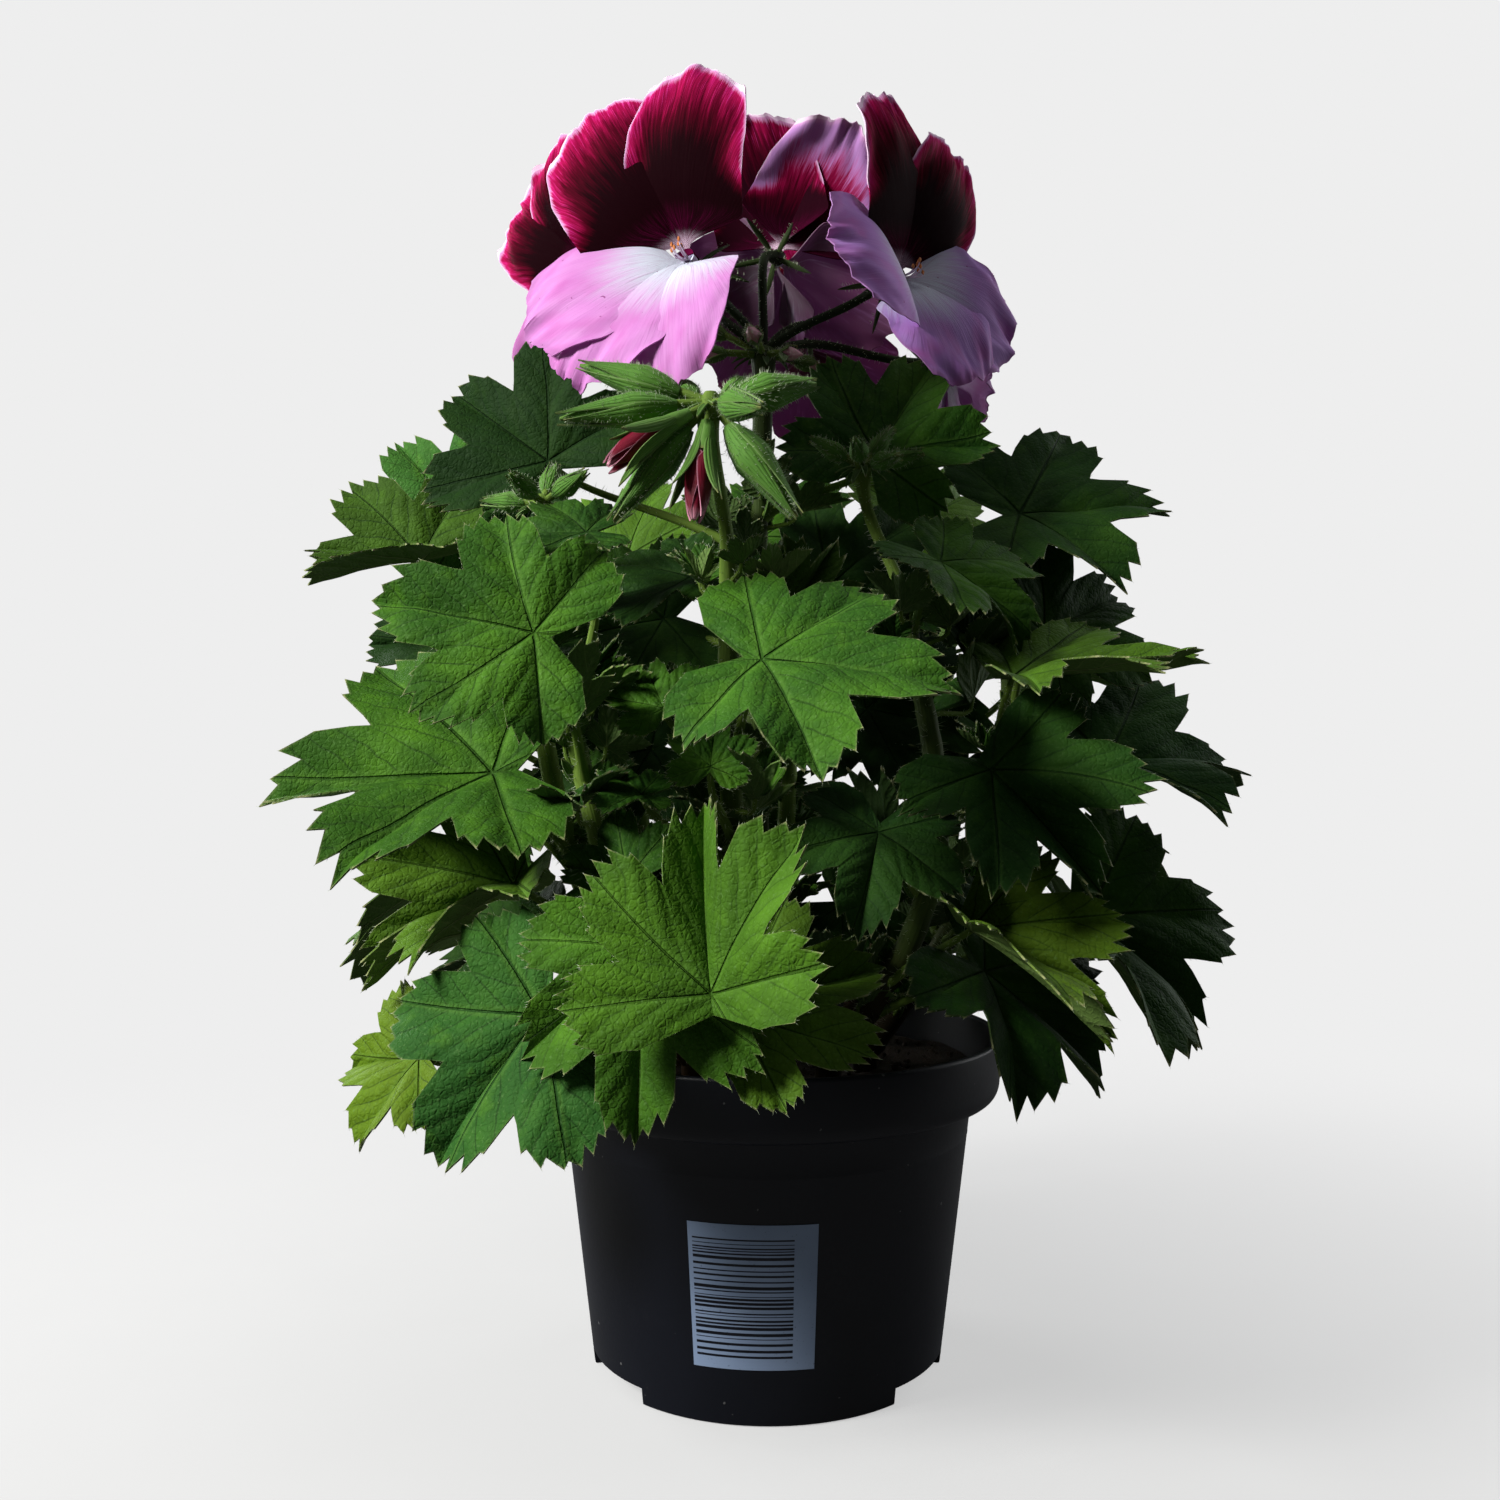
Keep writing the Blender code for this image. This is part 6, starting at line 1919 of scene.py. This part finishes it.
def pot_profile():
    """Return the pot's outline as (radius, height), from inside its floor over the rim to its underside."""
    bend = FLOOR_TOP + FLOOR_BEND
    rim_inside = RIM_RADIUS - RIM_THICKNESS
    profile = [(0, FLOOR_TOP)]
    corner = (wall_radius(bend) - WALL_THICKNESS - FLOOR_BEND, bend)
    profile += arc(corner, (FLOOR_BEND, FLOOR_BEND), -90, 0, 5)
    profile += [
        (wall_radius(RIM_UNDERSIDE) - WALL_THICKNESS, RIM_UNDERSIDE),
        (rim_inside - SHOULDER_WIDTH, RIM_UNDERSIDE + SHOULDER_HEIGHT),
    ]
    profile += arc((RIM_RADIUS - RIM_ROUND, POT_HEIGHT - RIM_ROUND), (RIM_ROUND, RIM_ROUND), 180, 0, 9)
    tuck = (RIM_TUCK - RIM_LEAN, RIM_FACE_FOOT - RIM_UNDERSIDE)
    profile += arc((RIM_RADIUS - RIM_TUCK, RIM_FACE_FOOT), tuck, 0, -90, 9)
    profile.append((wall_radius(RIM_UNDERSIDE) + 0.4, RIM_UNDERSIDE))
    profile.append((wall_radius(RIM_UNDERSIDE - 0.6), RIM_UNDERSIDE - 0.6))
    for offset, proud in MOULD_LINE_OUTLINE:
        profile.append((wall_radius(MOULD_LINE + offset) + proud, MOULD_LINE + offset))
    profile += arc((WALL_FOOT_RADIUS - FOOT_ROUND, FOOT_ROUND), (FOOT_ROUND, FOOT_ROUND), 0, -90, 4)
    profile += [
        (WALL_FOOT_RADIUS - FOOT_WIDTH, 0),
        (WALL_FOOT_RADIUS - FOOT_WIDTH, FLOOR_UNDERSIDE),
        (0, FLOOR_UNDERSIDE),
    ]
    return profile


def turned(form, profile, segments, material):
    """Add a closed solid of revolution about the pot's axis from (radius, height) points, top side first."""
    rings = [form.level_ring(radius, height, segments if radius else 1) for radius, height in profile]
    form.skin(rings, material, -1)


def prism(outline, low, high):
    """Make an upright prism from an outline, for cutting."""
    count = len(outline)
    points = [(x * MM, y * MM, height * MM) for height in (low, high) for x, y in outline]
    faces = [tuple(range(count))[::-1], tuple(range(count, count * 2))]
    for corner in range(count):
        after = (corner + 1) % count
        faces.append((corner, after, count + after, count + corner))
    mesh = bpy.data.meshes.new("cutter")
    mesh.from_pydata(points, [], faces)
    return placed("cutter", mesh)


def cut(obj, cutters):
    """Cut the cutters from an object, apply the cut and remove them."""
    group = bpy.data.collections.new("cutters")
    for cutter in cutters:
        group.objects.link(cutter)
    boolean = obj.modifiers.new("cut", "BOOLEAN")
    boolean.operation = "DIFFERENCE"
    boolean.operand_type = "COLLECTION"
    boolean.collection = group
    boolean.solver = "EXACT"
    bpy.context.view_layer.update()
    mesh = bpy.data.meshes.new_from_object(obj.evaluated_get(bpy.context.evaluated_depsgraph_get()))
    obj.modifiers.clear()
    obj.data = mesh
    for cutter in cutters:
        bpy.data.objects.remove(cutter)
    bpy.data.collections.remove(group)


def pot(finishes):
    """Make the pot with its foot gaps and drain holes."""
    form = Form()
    turned(form, pot_profile(), POT_SEGMENTS, finishes.plastic)
    obj = form.make("pot_fine", "pot", "pot")
    cutters = []
    half = FOOT_GAP_DEG / 2
    for step in range(FOOT_COUNT):
        middle = FIRST_GAP_DEG + 360 * step / FOOT_COUNT
        outline = [
            on_circle(GAP_INNER_RADIUS, middle - half),
            on_circle(GAP_OUTER_RADIUS, middle - half),
            on_circle(GAP_OUTER_RADIUS, middle + half),
            on_circle(GAP_INNER_RADIUS, middle + half),
        ]
        cutters.append(prism(outline, -CUT_PAST, GAP_DEPTH))
    for step in range(DRAIN_COUNT):
        x, y = on_circle(DRAIN_CIRCLE, 360 * step / DRAIN_COUNT)
        outline = []
        for side in range(DRAIN_SIDES):
            across, along = on_circle(DRAIN_RADIUS, 360 * side / DRAIN_SIDES)
            outline.append((x + across, y + along))
        cutters.append(prism(outline, FLOOR_UNDERSIDE - CUT_PAST, FLOOR_TOP + CUT_PAST))
    cut(obj, cutters)
    obj.data.shade_smooth()
    obj.data.set_sharp_from_angle(angle=math.radians(POT_SHARP_EDGE_DEG))


def panel_bars():
    """Return the heights of the panel's rows, and which of them are dark bars, by a seeded rule."""
    dice = random.Random(BAR_SEED)
    heights = [PANEL_BOTTOM, PANEL_BOTTOM + BAR_MARGIN]
    dark = [False]
    bar = True
    while heights[-1] < PANEL_TOP - BAR_MARGIN - BAR_WIDTHS[1]:
        heights.append(heights[-1] + dice.uniform(*BAR_WIDTHS) * (DARK_BAR_SHARE if bar else 1.0))
        dark.append(bar)
        bar = not bar
    heights.append(PANEL_TOP)
    dark.append(False)
    return heights, dark


def panel(finishes):
    """Make the printed panel on the pot's front: pale, with plain dark bars across most of its width."""
    form = Form()
    heights, dark = panel_bars()
    shares = sorted({step / PANEL_COLUMNS for step in range(PANEL_COLUMNS + 1)} | {BAR_LEFT, BAR_RIGHT})
    rings = []
    for height in heights:
        ring = []
        for share in shares:
            angle = PANEL_MIDDLE_DEG + PANEL_HALF_DEG * (2 * share - 1)
            for proud in (PANEL_PROUD, -PANEL_PROUD):
                x, y = on_circle(wall_radius(height) + proud, angle)
                ring.append(form.add(Vector((x, y, height))))
        rings.append(ring)
    last = len(shares) - 1
    for row, (low, high) in enumerate(zip(rings, rings[1:])):
        for column in range(last):
            a = column * 2
            b = a + 2
            inside = BAR_LEFT <= shares[column] < BAR_RIGHT
            front = finishes.plastic if dark[row] and inside else finishes.panel
            form.face((low[a], low[b], high[b], high[a]), front)
            form.face((low[b + 1], low[a + 1], high[a + 1], high[b + 1]), finishes.panel)
        form.face((low[0], high[0], high[1], low[1]), finishes.panel)
        form.face((low[2 * last + 1], high[2 * last + 1], high[2 * last], low[2 * last]), finishes.panel)
    for ring, turn in ((rings[0], -1), (rings[-1], 1)):
        for column in range(last):
            a = column * 2
            form.face((ring[a], ring[a + 2], ring[a + 3], ring[a + 1])[::turn], finishes.panel)
    form.make("printed_panel", "pot")


def soil_height(x, y):
    """Return the height of the soil's crumbled top at a place."""
    lumps = [share * noise.noise(Vector((x, y, layer)) * rate) for rate, layer, share in SOIL_LUMPS]
    return SOIL_LEVEL + sum(lumps)


def soil(finishes):
    """Make the soil's crumbled top, its hidden body and loose crumbs of peat."""
    form = Form()
    edge = RIM_RADIUS - RIM_THICKNESS - SHOULDER_WIDTH - FIT_GAP
    dice = random.Random("soil")
    rings = [[form.add(Vector((0, 0, soil_height(0, 0))))]]
    for ring in range(1, SOIL_RINGS + 1):
        row = []
        for spoke in range(SOIL_SPOKES):
            x, y = on_circle(edge * ring / SOIL_RINGS, 360 * spoke / SOIL_SPOKES)
            row.append(form.add(Vector((x, y, soil_height(x, y)))))
        rings.append(row)
    inset = WALL_THICKNESS + FIT_GAP
    bend = FLOOR_TOP + FLOOR_BEND
    wall = (
        (edge, RIM_UNDERSIDE + SHOULDER_HEIGHT + FIT_GAP),
        (wall_radius(RIM_UNDERSIDE) - inset, RIM_UNDERSIDE),
        (wall_radius(bend) - inset, bend),
        (wall_radius(FLOOR_TOP) - inset - FLOOR_BEND, FLOOR_TOP + FIT_GAP),
    )
    rings += [form.level_ring(radius, height, SOIL_SPOKES) for radius, height in wall]
    form.skin(rings, finishes.soil, -1)
    form.face(rings[-1][::-1], finishes.soil)
    for _ in range(CRUMB_COUNT):
        radius = (edge - CRUMB_MARGIN) * math.sqrt(dice.random())
        x, y = on_circle(radius, dice.uniform(0, 360))
        size = blend(*CRUMB_SIZES, dice.random() ** 2)
        crumb(form, Vector((x, y, soil_height(x, y) + size * 0.15)), size, dice, finishes.soil)
    form.make("soil_fine", "soil", "soil")


def crumb(form, centre, size, dice, material):
    """Add one crumb of peat: a lumpy grain of three uneven rings."""
    rings = []
    for height, share in CRUMB_OUTLINE:
        row = []
        for side in range(CRUMB_CORNERS):
            radius = size / 2 * share * dice.uniform(0.7, 1.2)
            x, y = on_circle(radius, 360 / CRUMB_CORNERS * (side + height / 2))
            row.append(form.add(centre + Vector((x, y, size * height * dice.uniform(0.8, 1.1)))))
        rings.append(row)
    form.capped(rings, material)


# Floor, light and camera


def stage_floor():
    """Make the pale floor, which fades into the backdrop away from the pot and gives back little light."""
    paint = Paint("pale floor")
    place = paint.place()
    distance = paint.result("VectorMath", {"operation": "LENGTH"}, {0: place}, "Value")
    colour = paint.mix(paint.noise(place, 30.0, 2.0), *FLOOR_GREYS)
    sockets = {"Base Color": colour, "Roughness": FLOOR_ROUGHNESS, "Specular IOR Level": FLOOR_SHINE}
    base = paint.result("BsdfPrincipled", {}, sockets)
    seen = paint.camera_ray()
    faded = paint.rise(distance, FLOOR_FADE[0] * MM, FLOOR_FADE[1] * MM)
    clear = (FLOOR_NEAR_SHARE + faded * (1 - FLOOR_NEAR_SHARE)) * seen + FLOOR_BOUNCE_SHARE * (1 - seen)
    surface = paint.shaders(clear, base, paint.result("BsdfTransparent"))
    paint.node("OutputMaterial", {}, {"Surface": surface})
    turns = [360 * step / FLOOR_CORNERS for step in range(FLOOR_CORNERS)]
    corners = [Vector((*on_circle(FLOOR_RADIUS, turn), 0)) * MM for turn in turns]
    mesh = bpy.data.meshes.new("floor")
    mesh.from_pydata(corners, [], [tuple(range(FLOOR_CORNERS))])
    mesh.materials.append(paint.owner)
    floor = placed("floor", mesh)
    floor.location.z = -FLOOR_DROP * MM
    floor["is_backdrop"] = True


def backdrop():
    """Set the even grey that the camera sees behind the object, and the dimmer light that it gives."""
    paint = Paint("studio", "worlds")
    grey = paint.colour([BACKDROP_GREY] * 3)
    seen = paint.result("Background", {}, {"Color": grey})
    lighting = paint.result("Background", {}, {"Color": paint.colour(SKY_COLOUR), "Strength": SKY_STRENGTH})
    surface = paint.shaders(paint.camera_ray(), lighting, seen)
    paint.node("OutputWorld", {}, {"Surface": surface})
    bpy.context.scene.world = paint.owner


def soft_light(name, place, size, power, colour):
    """Add a square soft lamp, in millimetres and watts, that looks at the middle of the bush."""
    lamp = bpy.data.lights.new(name, "AREA")
    lamp.shape = "SQUARE"
    lamp.size = size * MM
    lamp.energy = power
    lamp.color = colour
    obj = placed(name, lamp)
    obj.location = Vector(place) * MM
    obj.rotation_euler = (Vector(LAMP_AIM) - Vector(place)).to_track_quat("-Z", "Y").to_euler()


def camera():
    """Set the camera at the photograph's viewing angle."""
    lens = bpy.data.cameras.new("camera")
    lens.lens = CAMERA_LENS
    lens.sensor_width = CAMERA_SENSOR
    lens.clip_start = CAMERA_NEAREST * MM
    obj = placed("camera", lens)
    obj.location = Vector(CAMERA_PLACE) * MM
    obj.rotation_euler = (math.radians(90), 0, 0)
    bpy.context.scene.camera = obj


def main():
    """Build every piece, the stage and the lights."""
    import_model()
    frame_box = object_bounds()
    bpy.context.scene.view_settings.view_transform = "Standard"
    camera()
    backdrop()
    stage_floor()
    for lamp in LAMPS:
        soft_light(*lamp)
    finishes = Finishes()
    pot(finishes)
    panel(finishes)
    soil(finishes)
    for name in STEMS:
        leafy_stem(name, finishes)
    flower_head(finishes)
    for name, flower in FLOWERS.items():
        flower_petals(name, flower, finishes)
    for name, head in BUD_HEADS.items():
        bud_head(name, head, finishes)
    boxes = {"frame": frame_box, "visual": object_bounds()}
    {name: [list(corner) for corner in box] for name, box in boxes.items()}


main()
